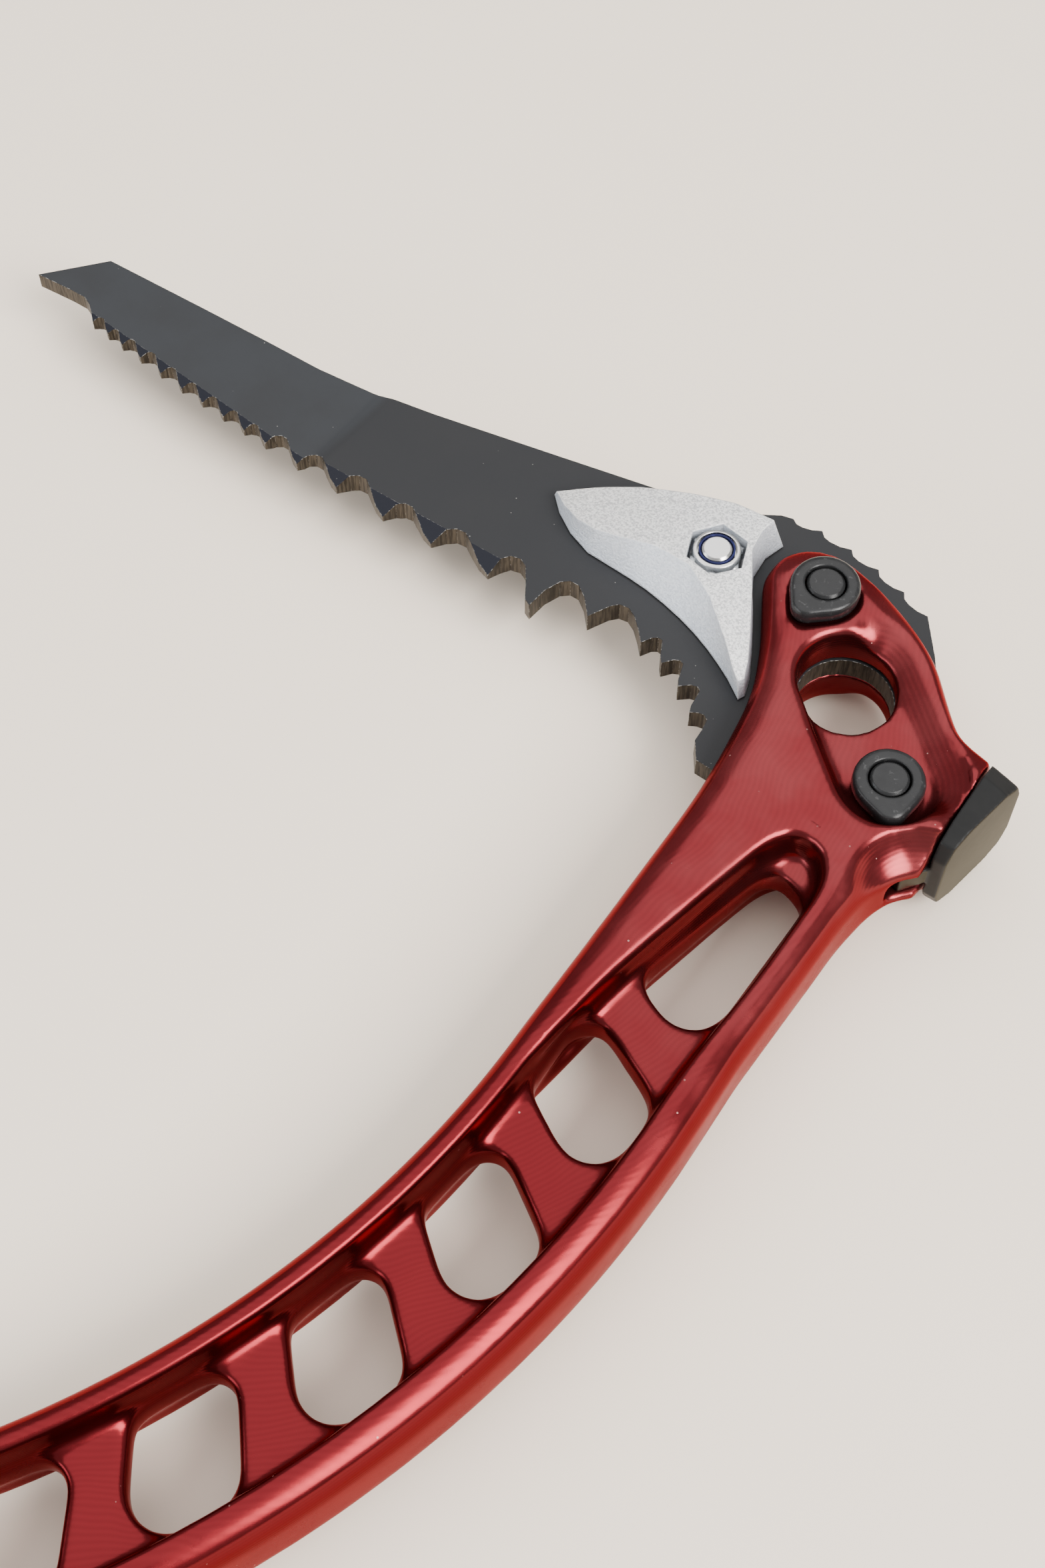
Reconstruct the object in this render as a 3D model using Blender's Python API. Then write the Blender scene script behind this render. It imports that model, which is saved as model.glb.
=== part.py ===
"""An ice axe for steep ice, lying on its side.

A machined frame holds a steel pick and a hammer between two cheeks.  Cast weights are bolted to the
pick, rubber sleeves cover the handle, and a spike closes its end.

Plan positions are measured from the upper pick bolt's axis: X points away from the pick's tip and Y
towards the head.  Z is zero at the middle of the pick's thickness until the model is set down.
"""
import math

import bmesh
import bpy
from mathutils import Matrix, Vector

MM = 0.001
CLEARANCE = 0.3 * MM

# Frame plate: thickness, rounded outer edge and the shaft's depth
FRAME_THICKNESS = 19.0 * MM
FRAME_EDGE_ROUND = 4.5 * MM
SHAFT_DEPTH = 28.8 * MM
WEB_THICKNESS = 6.0 * MM

# Centreline of the shaft: a straight neck, an arc and a straight handle
ARC_START = Vector((46.5, -73.6)) * MM
NECK_HEADING = math.radians(-67.0)
ARC_RADIUS = 165.0 * MM
HANDLE_HEADING = math.radians(-112.0)
NECK_BACK_LENGTH = 12.0 * MM

# Outline of the head and the neck, from the hammer's end over the top and down the front edge
HEAD_OUTLINE = (
    (50.0, 4.0), (44.0, 3.9), (38.0, 3.1), (32.0, 2.4), (26.0, 4.7), (19.0, 7.9), (10.0, 9.5),
    (0.0, 9.2), (-6.0, 7.6), (-9.8, 4.0), (-11.0, -0.8), (-9.6, -4.0), (-6.9, -6.4), (-2.1, -10.3),
    (2.0, -14.0), (5.2, -17.3), (8.0, -21.1), (10.4, -25.2), (13.1, -30.0), (16.7, -37.3), (22.8, -52.4),
    (28.6, -67.1),
)
# Back edge of the neck, from the shaft up to the hammer's seat
NECK_BACK_OUTLINE = ((48.4, -38.4), (45.6, -30.5), (44.3, -23.5), (45.6, -17.0), (49.0, -12.0))

# Holes in the head
UPPER_BOLT = Vector((0.0, 0.0)) * MM
LOWER_BOLT = Vector((31.9, -12.4)) * MM
CARABINER_HOLE = Vector((14.5, -6.3)) * MM
CARABINER_HOLE_RADIUS = 7.75 * MM
DISH_RADIUS_AT_HOLE = 8.0 * MM
DISH_RADIUS_AT_NUT = 7.9 * MM
DISH_FLOOR_HEIGHT = 5.0 * MM
DISH_RIM_ROUND = 1.8 * MM
DISH_FLOOR_FILLET = 2.0 * MM

# Scoop below the hammer that bares the end of its tang
SCOOP_RADIUS = 12.0 * MM
SCOOP_CENTRE = Vector((49.5, -20.8)) * MM
SCOOP_HEIGHT = 14.8 * MM

# Slot for the pick and the hammer's tang: its floor runs up from the front edge to the back edge
SLOT_FLOOR_FRONT = Vector((10.0, -33.2)) * MM
SLOT_FLOOR_SLOPE = math.radians(19.1)

# Recess of the I-beam: how far its front and back walls lie from the centreline
RECESS_FRONT = 9.8 * MM
RECESS_BACK = 8.4 * MM
RECESS_RIM_ROUND = 1.5 * MM
RECESS_FLOOR_FILLET = 2.2 * MM
RECESS_END_MARGIN = 10.0 * MM
# The recess narrows towards the head: distance from the arc's start, offset from the centreline
RECESS_HEAD = (
    (-2.0, 8.4), (-11.8, 9.0), (-21.3, 9.9), (-33.4, 10.4), (-38.5, 10.5), (-42.5, 9.8), (-45.4, 7.7),
    (-46.0, 5.0), (-45.2, 2.9), (-42.6, 1.2), (-35.9, -0.9), (-27.0, -3.2), (-18.4, -5.4), (-10.5, -7.2),
    (-0.4, -8.9),
)
# Windows through the web, from wall to wall of the recess: the slanted row along the arc
WINDOW_PITCH = 24.6 * MM
WINDOW_FIRST = 3.6 * MM
WINDOW_LENGTH = 16.0 * MM
WINDOW_WALL_GAP = 0.2 * MM
WINDOW_SLANT = math.radians(27.0)
WINDOW_FRONT_CORNER = 3.6 * MM
WINDOW_BACK_CORNER = 5.6 * MM
WINDOW_EDGE_ROUND = 0.7 * MM
# The top window is a long quadrilateral: distance from the arc's start, offset from the centreline
TOP_WINDOW = ((-42.6, 2.2), (-40.0, 9.4), (-9.6, 8.0), (-15.9, -5.0))
TOP_WINDOW_CORNER = 2.8 * MM

# Pick
PICK_THICKNESS = 4.0 * MM
PICK_TIP_THICKNESS = 3.0 * MM
PICK_STEP = Vector((-73.8, -40.5)) * MM
PICK_STEP_TURN = math.radians(17.0)
PICK_STEP_RAMP = 3.0 * MM
PICK_BACK = (
    (-136.6, -68.3), (-132.3, -56.1), (-124.0, -52.6), (-114.0, -48.4), (-100.0, -42.6), (-90.0, -38.6),
    (-80.0, -33.7), (-70.0, -27.8), (-50.0, -15.0), (-34.0, -4.7), (-24.0, 2.4), (-20.0, 7.8),
)
CREST_TEETH = ((-18.3, 9.0), (-13.7, 11.4), (-8.0, 13.0), (-2.4, 14.1), (3.4, 14.7), (9.2, 14.8))
CREST_SCALLOP = 0.17
PICK_REAR = ((16.0, 10.7), (25.5, 4.0), (28.6, -1.0))
# Tips of the teeth, from the pick's point to its rear
FINE_TEETH = (
    (-121.8, -65.5), (-118.0, -64.6), (-114.4, -63.8), (-110.0, -62.6), (-105.0, -61.4), (-100.0, -60.1),
    (-95.3, -58.7), (-90.6, -57.3), (-86.0, -55.9), (-81.5, -54.4), (-74.6, -52.3), (-66.7, -49.4),
    (-57.3, -46.2), (-48.2, -42.6), (-37.7, -38.4),
)
FIRST_GULLET = ((-133.0, -66.6), (-130.0, -65.2), (-127.2, -64.1), (-125.2, -64.2))
LARGE_GULLETS = (
    (-38.4, -35.4), (-38.0, -33.7), (-36.6, -32.7), (-35.0, -32.8), (-32.0, -34.8), (-29.6, -36.6),
    (-28.2, -36.7), (-29.2, -33.0), (-29.2, -30.0), (-28.4, -28.5), (-26.9, -27.9), (-24.5, -28.5),
    (-21.2, -30.2), (-20.8, -26.2), (-20.2, -24.6), (-18.8, -23.8), (-17.0, -24.0), (-14.5, -25.0),
)
REAR_TEETH = ((-12.3, -26.1), (-7.3, -25.7), (-2.3, -26.1), (2.6, -27.5))
REAR_CORNER = ((3.5, -26.4), (4.3, -25.9), (5.3, -26.1), (6.4, -28.0), (7.2, -29.8), (10.2, -31.8))
# A gullet between two tips: shares of their distance along and across
GULLET = ((0.09, 0.26), (0.21, 0.36), (0.36, 0.375), (0.55, 0.25), (0.78, 0.09))
REAR_GULLET_DEPTH = 1.55
# Facets ground along the teeth: the bent line where they start, and their slope
FACET_LINE = ((-127.0, -64.7), (-73.5, -49.5), (-36.5, -34.6))
FACET_SLOPE = math.radians(25.0)

# Hammer
SEAT_TOP = Vector((38.5, 1.2)) * MM
SEAT_BOTTOM = Vector((44.6, -14.5)) * MM
STRIKING_FACE_TOP_DEPTH = 5.6 * MM
STRIKING_FACE_BOTTOM_DEPTH = 2.6 * MM
KNUCKLE_RADIUS = 7.0 * MM
TANG_END = Vector((44.0, -18.9)) * MM
TANG_ROOT_DROP = 4.0 * MM
TANG_OVERLAP = 1.0 * MM

# Pick weights: outline on the pick's face, and the same points moved in to the top
WEIGHT_BASE = (
    (-44.2, -20.8), (-40.6, -22.3), (-36.1, -23.2), (-31.3, -23.1), (-26.5, -21.5), (-20.2, -19.6),
    (-12.4, -18.4), (-5.5, -18.3), (1.3, -19.1), (5.1, -20.0), (5.2, -18.7), (3.2, -16.3), (-0.4, -13.1),
    (-6.7, -8.1), (-12.3, -3.8), (-14.2, 0.0), (-14.6, 4.0), (-22.0, 0.8), (-29.0, -4.2), (-35.5, -9.8),
    (-40.5, -15.6),
)
WEIGHT_TOP = (
    (-41.8, -20.4), (-38.6, -21.4), (-35.0, -21.8), (-31.6, -21.0), (-27.9, -19.0), (-23.0, -15.8),
    (-16.8, -13.8), (-10.4, -14.5), (-4.6, -16.4), (2.6, -19.1), (3.2, -18.2), (1.4, -16.2), (-1.9, -13.2),
    (-7.9, -8.2), (-13.6, -3.8), (-15.6, -0.2), (-16.2, 2.4), (-22.6, -0.6), (-28.8, -5.2), (-34.6, -10.4),
    (-39.0, -15.6),
)
WEIGHT_HEIGHT = 6.4 * MM
WEIGHT_CROWN_RADIUS = 75.0 * MM
WEIGHT_FLOOR = 1.3 * MM
WEIGHT_BOLT = Vector((-16.6, -8.5)) * MM
WEIGHT_POCKET_GAP = 0.5 * MM

# Fasteners
M6_RADIUS = 3.0 * MM
M6_HEAD_RADIUS = 5.25 * MM
M6_HEAD_HEIGHT = 3.3 * MM
M6_SOCKET_WIDTH = 4.0 * MM
M5_RADIUS = 2.5 * MM
M5_HEAD_RADIUS = 4.75 * MM
M5_HEAD_HEIGHT = 2.75 * MM
M5_SOCKET_WIDTH = 3.0 * MM
M5_NUT_WIDTH = 8.0 * MM
M5_NUT_HEIGHT = 3.6 * MM
M5_NUT_COLLAR_HEIGHT = 1.3 * MM
M5_NUT_COLLAR_RADIUS = 3.9 * MM
M5_NUT_COLLAR_ROUND = 0.45 * MM
INSERT_RADIUS = 2.95 * MM
INSERT_HEIGHT = 1.1 * MM
SOCKET_DEPTH_SHARE = 0.62
# A button head's dome: turns of its rounded rim, and its share of the head's height
HEAD_DOME = (38, 55, 72, 90)
HEAD_DOME_SHARE = 0.75
EGG_NUT_RADIUS = 5.6 * MM
EGG_NUT_LOBE_RADIUS = 2.6 * MM
EGG_NUT_LOBE_REACH = 4.6 * MM
EGG_NUT_HEIGHT = 3.3 * MM
EGG_NUT_EDGE_ROUND = 0.9 * MM
EGG_NUT_POCKET = 1.0 * MM
UPPER_NUT_TURN = math.radians(-76.0)
LOWER_NUT_TURN = math.radians(-36.0)
WEIGHT_NUT_TURN = math.radians(12.0)
HEAD_SPOTFACE = 0.5 * MM
BOLT_END_CHAMFER = 0.4 * MM

# Handle, along its own line from the end of the arc
CORE_DEPTH = 24.0 * MM
CORE_SHOULDER = 9.0 * MM
CORE_LENGTH = 246.0 * MM
GRIP_DEPTH = 34.0 * MM
GRIP_THICKNESS = 24.6 * MM
GRIP_WAIST = 1.6 * MM
GRIP_SQUARENESS = 0.8
UPPER_GRIP_START = 14.0 * MM
UPPER_GRIP_LENGTH = 66.0 * MM
REST_TRAVEL = 22.0 * MM
REST_LENGTH = 24.0 * MM
REST_WALL = 3.0 * MM
REST_THICKNESS = 24.0 * MM
REST_HOOK_REACH = 17.0 * MM
REST_HOOK_WIDTH = 9.0 * MM
REST_EAR_REACH = 11.0 * MM
REST_SPLIT = 2.0 * MM
REST_CORNERS = (3, 4, 6, 3.2, 4, 3, 4, 4)
POMMEL_LENGTH = 22.0 * MM
CORE_IN_POMMEL = 19.1 * MM
POMMEL_DEPTH = 32.0 * MM
POMMEL_HOOK_REACH = 24.0 * MM
POMMEL_HOOK_WIDTH = 11.0 * MM
POMMEL_CORNERS = (3, 3, 9, 4, 5, 6)
REST_EDGE_ROUND = 2.5 * MM

# Spike
SPIKE_THICKNESS = 4.0 * MM
SPIKE_TANG_LENGTH = 24.0 * MM
SPIKE_TANG_WIDTH = 16.0 * MM
SPIKE_REACH = 40.0 * MM
SPIKE_ROOT_WIDTH = 21.0 * MM
SPIKE_SHOULDER = 3.0 * MM
SPIKE_TIP_WIDTH = 2.0 * MM
EYE_RADIUS = 6.0 * MM
EYE_DISTANCE = 15.0 * MM
RIVET_RADIUS = 2.5 * MM
RIVET_SPACING = 12.0 * MM
RIVET_HEAD_RADIUS = 4.0 * MM
RIVET_HEAD_HEIGHT = 0.8 * MM

# Fineness of curved outlines and turned pieces
OUTLINE_STEP = 5.5 * MM
HEAD_STEP = 2.4 * MM
TURN_SEGMENTS = 32
NUT_SEGMENTS = 36
EDGE_SEGMENTS = 3
GRIP_STEPS = 12


def scaled(points):
    """Hand-chosen plan points in millimetres, as vectors in metres."""
    return [Vector(p) * MM for p in points]


def smooth_path(points, step):
    """A centripetal curve through the points, sampled about every step."""
    ends = [points[0] * 2 - points[1], *points, points[-1] * 2 - points[-2]]
    path = []
    for a, b, c, d in zip(ends, ends[1:], ends[2:], ends[3:]):
        count = max(1, round((c - b).length / step))
        ta = 0.0
        tb = ta + math.sqrt((b - a).length)
        tc = tb + math.sqrt((c - b).length)
        td = tc + math.sqrt((d - c).length)
        for i in range(count):
            t = tb + (tc - tb) * i / count
            ab = a.lerp(b, (t - ta) / (tb - ta))
            bc = b.lerp(c, (t - tb) / (tc - tb))
            cd = c.lerp(d, (t - tc) / (td - tc))
            abc = ab.lerp(bc, (t - ta) / (tc - ta))
            bcd = bc.lerp(cd, (t - tb) / (td - tb))
            path.append(abc.lerp(bcd, (t - tb) / (tc - tb)))
    path.append(points[-1])
    return path


def arc(centre, radius, start, end, segments):
    """Points of a circular arc between two angles."""
    angles = [start + (end - start) * i / segments for i in range(segments + 1)]
    return [centre + Vector((math.cos(a), math.sin(a))) * radius for a in angles]


def circle(centre, radius, segments=TURN_SEGMENTS):
    return arc(centre, radius, 0.0, math.tau, segments)[:-1]


def rounded_polygon(corners, radii, segments=5):
    """The corners joined by straight sides, each corner replaced by an arc of its own radius."""
    outline = []
    for i, (corner, radius) in enumerate(zip(corners, radii)):
        before = (corners[i - 1] - corner).normalized()
        after = (corners[(i + 1) % len(corners)] - corner).normalized()
        half = before.angle(after) / 2
        reach = radius / math.tan(half)
        centre = corner + (before + after).normalized() * radius / math.sin(half)
        first = corner + before * reach - centre
        last = corner + after * reach - centre
        turn = first.angle_signed(last)
        for k in range(segments + 1):
            outline.append(centre + Matrix.Rotation(-turn * k / segments, 2) @ first)
    return outline


def round_hull(centre_a, radius_a, centre_b, radius_b, segments=TURN_SEGMENTS):
    """The outline of two circles and the straight sides that touch both."""
    line = centre_b - centre_a
    heading = math.atan2(line.y, line.x)
    lean = math.acos((radius_a - radius_b) / line.length)
    around_a = arc(centre_a, radius_a, heading + lean, heading + math.tau - lean, segments // 2)
    around_b = arc(centre_b, radius_b, heading - lean, heading + lean, segments // 2)
    return around_a + around_b


def offset_outline(outline, distance):
    """The closed outline moved outwards along its normals; it runs anticlockwise."""
    moved = []
    for i, p in enumerate(outline):
        before = (p - outline[i - 1]).normalized()
        after = (outline[(i + 1) % len(outline)] - p).normalized()
        side = Vector((before.y + after.y, -before.x - after.x))
        moved.append(p + side * distance * 2 / side.length_squared)
    return moved


def heading_vector(angle):
    return Vector((math.cos(angle), math.sin(angle)))


ARC_LENGTH = ARC_RADIUS * (NECK_HEADING - HANDLE_HEADING)


def shaft_point(distance, offset):
    """A plan point at a distance along the centreline from the arc's start, offset to the back."""
    on_arc = min(max(distance, 0.0), ARC_LENGTH)
    heading = NECK_HEADING - on_arc / ARC_RADIUS
    along = heading_vector(heading)
    back = Vector((-along.y, along.x))
    start_back = heading_vector(NECK_HEADING + math.pi / 2)
    centre = ARC_START - start_back * ARC_RADIUS
    return centre + back * (ARC_RADIUS + offset) + along * (distance - on_arc)


def shaft_run(start, end, offset):
    """Points along one side of the shaft, denser than its bend needs."""
    count = max(1, round(abs(end - start) / OUTLINE_STEP))
    return [shaft_point(start + (end - start) * i / count, offset) for i in range(count + 1)]


def collection(name):
    made = bpy.data.collections.new(name)
    bpy.context.scene.collection.children.link(made)
    return made


def material(name, colour, roughness, metallic):
    made = bpy.data.materials.new(name)
    made.use_nodes = True
    shader = made.node_tree.nodes["Principled BSDF"]
    shader.inputs["Base Color"].default_value = (*colour, 1.0)
    shader.inputs["Roughness"].default_value = roughness
    shader.inputs["Metallic"].default_value = metallic
    made.diffuse_color = (*colour, 1.0)
    return made


def empty(name, parent=None, location=(0, 0, 0), turn=0.0):
    made = bpy.data.objects.new(name, None)
    made.parent = parent
    made.location = location
    made.rotation_euler.z = turn
    PARTS.objects.link(made)
    return made


def add_object(name, mesh, finish=None, parent=None):
    """A sub-part when it has a finish, and otherwise a cutter."""
    made = bpy.data.objects.new(name, mesh)
    made.parent = parent or ASSEMBLY
    if finish:
        mesh.materials.append(finish)
        mesh.shade_smooth()
        mesh.set_sharp_from_angle(angle=math.radians(35))
        PARTS.objects.link(made)
    else:
        made.hide_render = True
        made.display_type = "WIRE"
        CUTTERS.objects.link(made)
    return made


def mesh_from(name, bm):
    bmesh.ops.recalc_face_normals(bm, faces=bm.faces)
    mesh = bpy.data.meshes.new(name)
    bm.to_mesh(mesh)
    bm.free()
    return mesh


def plate(name, outline, bottom, top, edge_round=0.0):
    """A mesh of a flat outline with a thickness and, if asked for, rounded edges."""
    curve = bpy.data.curves.new(name, "CURVE")
    curve.dimensions = "2D"
    curve.fill_mode = "BOTH"
    curve.extrude = (top - bottom) / 2 - edge_round
    curve.bevel_depth = edge_round
    curve.bevel_resolution = EDGE_SEGMENTS - 2
    curve.offset = -edge_round
    spline = curve.splines.new("POLY")
    spline.points.add(len(outline) - 1)
    for point, place in zip(spline.points, outline):
        point.co = (place.x, place.y, 0.0, 1.0)
    spline.use_cyclic_u = True
    made = bpy.data.objects.new(name, curve)
    bpy.context.scene.collection.objects.link(made)
    evaluated = made.evaluated_get(bpy.context.evaluated_depsgraph_get())
    bm = bmesh.new()
    bm.from_mesh(bpy.data.meshes.new_from_object(evaluated))
    bpy.data.objects.remove(made)
    bpy.data.curves.remove(curve)
    bmesh.ops.remove_doubles(bm, verts=bm.verts, dist=0.001 * MM)
    bmesh.ops.translate(bm, verts=bm.verts, vec=(0, 0, (top + bottom) / 2))
    return mesh_from(name, bm)


def loft(name, rings, bored=False):
    """A closed mesh through rings of as many points each, with flat ends or a bore that joins them."""
    bm = bmesh.new()
    rows = [[bm.verts.new(p) for p in ring] for ring in rings]
    pairs = list(zip(rows, rows[1:]))
    if bored:
        pairs.append((rows[-1], rows[0]))
    else:
        bm.faces.new(reversed(rows[0]))
        bm.faces.new(rows[-1])
    for low, high in pairs:
        for i in range(len(low)):
            k = (i + 1) % len(low)
            bm.faces.new((low[i], low[k], high[k], high[i]))
    return mesh_from(name, bm)


def level(outline, height):
    return [p.to_3d() + Vector((0, 0, height)) for p in outline]


def turned(name, profile, segments=TURN_SEGMENTS):
    """A mesh turned about Z from (radius, height) pairs, bottom to top."""
    rings = []
    for radius, height in profile:
        rings.append(level(circle(Vector((0, 0)), radius, segments), height))
    return loft(name, rings)


def hexagon(width, height_low, height_high, name, turn=0.0):
    corners = [heading_vector(turn + math.pi / 3 * i) * width / math.sqrt(3) for i in range(6)]
    return plate(name, corners, height_low, height_high)


def pocket_rings(outline, floor, rim, floor_fillet, rim_round):
    """Rings of a pocket cutter: filleted floor, straight wall and a rim that flares outwards."""
    steps = [math.pi / 2 * i / EDGE_SEGMENTS for i in range(EDGE_SEGMENTS + 1)]
    profile = []
    for a in steps:
        profile.append((-floor_fillet * (1 - math.sin(a)), floor + floor_fillet * (1 - math.cos(a))))
    for a in steps:
        profile.append((rim_round * (1 - math.cos(a)), rim - rim_round * (1 - math.sin(a))))
    profile.append((rim_round, rim + FRAME_EDGE_ROUND))
    return [level(offset_outline(outline, out), height) for out, height in profile]


def through_rings(outline, half, edge_round):
    """Rings of a through cutter whose two mouths flare, for a web from -half to +half."""
    steps = [math.pi / 2 * i / (EDGE_SEGMENTS - 1) for i in range(EDGE_SEGMENTS)]
    upper = [(edge_round * (1 - math.cos(a)), half - edge_round * (1 - math.sin(a))) for a in steps]
    upper.append((edge_round, half + RECESS_FLOOR_FILLET))
    profile = [(out, -height) for out, height in reversed(upper)] + upper
    return [level(offset_outline(outline, out), height) for out, height in profile]


def mirrored(mesh):
    """A copy of a mesh on the other side of the pick's middle plane."""
    bm = bmesh.new()
    bm.from_mesh(mesh)
    bmesh.ops.scale(bm, verts=bm.verts, vec=(1, 1, -1))
    bmesh.ops.reverse_faces(bm, faces=bm.faces)
    return mesh_from(mesh.name + "_mirrored", bm)


def together(name, meshes):
    """One mesh of several that stay apart."""
    bm = bmesh.new()
    for mesh in meshes:
        bm.from_mesh(mesh)
    return mesh_from(name, bm)


def shape_with(target, cutter, operation="DIFFERENCE"):
    modifier = target.modifiers.new(cutter.name, "BOOLEAN")
    modifier.operation = operation
    modifier.object = cutter
    modifier.solver = "EXACT"


def cut(target, mesh, parent=None, location=(0, 0, 0)):
    cutter = add_object(target.name + "_" + mesh.name, mesh, parent=parent)
    cutter.location = location
    shape_with(target, cutter)


def drill(target, holes, parent=None):
    """Round holes right through a piece along Z, each given as its centre and radius."""
    reach = FRAME_THICKNESS
    rods = [plate("hole", circle(centre, radius), -reach, reach) for centre, radius in holes]
    cut(target, together("holes", rods), parent)


FRAME_HALF = FRAME_THICKNESS / 2
PICK_HALF = PICK_THICKNESS / 2
SLOT_HALF = PICK_HALF + CLEARANCE
EDGE = SHAFT_DEPTH / 2
M6_HOLE = M6_RADIUS + CLEARANCE
M5_HOLE = M5_RADIUS + CLEARANCE
M6 = (M6_RADIUS, M6_HEAD_RADIUS, M6_HEAD_HEIGHT, M6_SOCKET_WIDTH)
M5 = (M5_RADIUS, M5_HEAD_RADIUS, M5_HEAD_HEIGHT, M5_SOCKET_WIDTH)
SEAT_ALONG = (SEAT_BOTTOM - SEAT_TOP).normalized()
SEAT_OUT = Vector((-SEAT_ALONG.y, SEAT_ALONG.x))
SLOT_ALONG = heading_vector(SLOT_FLOOR_SLOPE)
SLOT_UP = Vector((-SLOT_ALONG.y, SLOT_ALONG.x))
FAR = 100.0 * MM

LOWER_GRIP_START = UPPER_GRIP_START + UPPER_GRIP_LENGTH + REST_TRAVEL + REST_LENGTH + 2 * CLEARANCE
REST_START = LOWER_GRIP_START - CLEARANCE - REST_LENGTH
POMMEL_START = CORE_LENGTH - CORE_IN_POMMEL
LOWER_GRIP_LENGTH = POMMEL_START - CLEARANCE - LOWER_GRIP_START


def frame_outline():
    """Head, front edge, handle core and back edge, anticlockwise."""
    core = CORE_DEPTH / 2
    front = shaft_run(0.0, ARC_LENGTH, -EDGE)
    back = shaft_run(ARC_LENGTH, -NECK_BACK_LENGTH, EDGE)
    end = ARC_LENGTH + CORE_LENGTH
    core_start = ARC_LENGTH + CORE_SHOULDER
    corners = [shaft_point(core_start, -core), shaft_point(end, -core), shaft_point(end, core),
               shaft_point(core_start, core)]
    head = smooth_path(scaled(HEAD_OUTLINE) + front[:1], HEAD_STEP)
    neck = smooth_path(back[-1:] + scaled(NECK_BACK_OUTLINE), HEAD_STEP)
    spare = Vector((FRAME_THICKNESS, 0.0))
    return [head[0] + spare] + head + front[1:] + corners + back + neck[1:] + [neck[-1] + spare]


def recess_outline():
    """The I-beam's recess: its narrow end at the head, then both walls along the shaft, anticlockwise."""
    last = ARC_LENGTH - RECESS_END_MARGIN
    back = shaft_run(last, OUTLINE_STEP, RECESS_BACK)
    front = shaft_run(OUTLINE_STEP, last, -RECESS_FRONT)
    narrow = [shaft_point(s * MM, n * MM) for s, n in RECESS_HEAD]
    head = smooth_path(back[-1:] + narrow + front[:1], HEAD_STEP)
    half = (RECESS_FRONT + RECESS_BACK) / 2
    middle = (RECESS_BACK - RECESS_FRONT) / 2
    end = [shaft_point(last + half * math.cos(a), middle + half * math.sin(a))
           for a in [-math.pi / 2 + math.pi * i / 12 for i in range(1, 12)]]
    return head + front[1:] + end + back[:-1]


def windows():
    """Outlines of the windows: the long one at the top and the slanted row along the arc."""
    half_length = WINDOW_LENGTH / 2
    lean = math.tan(WINDOW_SLANT)
    back = RECESS_BACK - WINDOW_WALL_GAP - WINDOW_EDGE_ROUND
    front = WINDOW_WALL_GAP + WINDOW_EDGE_ROUND - RECESS_FRONT
    top = [shaft_point(s * MM, n * MM) for s, n in reversed(TOP_WINDOW)]
    outlines = [rounded_polygon(top, (WINDOW_FRONT_CORNER, WINDOW_BACK_CORNER, TOP_WINDOW_CORNER,
                                      TOP_WINDOW_CORNER))]
    last = ARC_LENGTH - RECESS_END_MARGIN
    centre = WINDOW_FIRST
    while centre + half_length < last:
        corners = []
        for along, n in ((-1, back), (-1, front), (1, front), (1, back)):
            corners.append(shaft_point(centre + along * half_length + n * lean, n))
        outlines.append(rounded_polygon(corners, (WINDOW_BACK_CORNER, WINDOW_FRONT_CORNER,
                                                  WINDOW_FRONT_CORNER, WINDOW_BACK_CORNER)))
        centre += WINDOW_PITCH
    return outlines


def egg_outline(turn, grow=0.0):
    """An anti-rotation nut: a circle with a lobe towards one side."""
    lobe = heading_vector(turn) * EGG_NUT_LOBE_REACH
    return round_hull(Vector((0, 0)), EGG_NUT_RADIUS + grow, lobe, EGG_NUT_LOBE_RADIUS + grow)


def slot_region():
    """The part of the plan above the slot's floor."""
    left = SLOT_FLOOR_FRONT - SLOT_ALONG * FAR
    right = SLOT_FLOOR_FRONT + SLOT_ALONG * FAR
    return [left, right, right + SLOT_UP * FAR, left + SLOT_UP * FAR]


def seat_region():
    """The part of the plan on the hammer's side of its seat."""
    top = SEAT_TOP - SEAT_ALONG * FAR
    bottom = SEAT_BOTTOM + SEAT_ALONG * FAR
    return [top, bottom, bottom + SEAT_OUT * FAR, top + SEAT_OUT * FAR]


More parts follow.
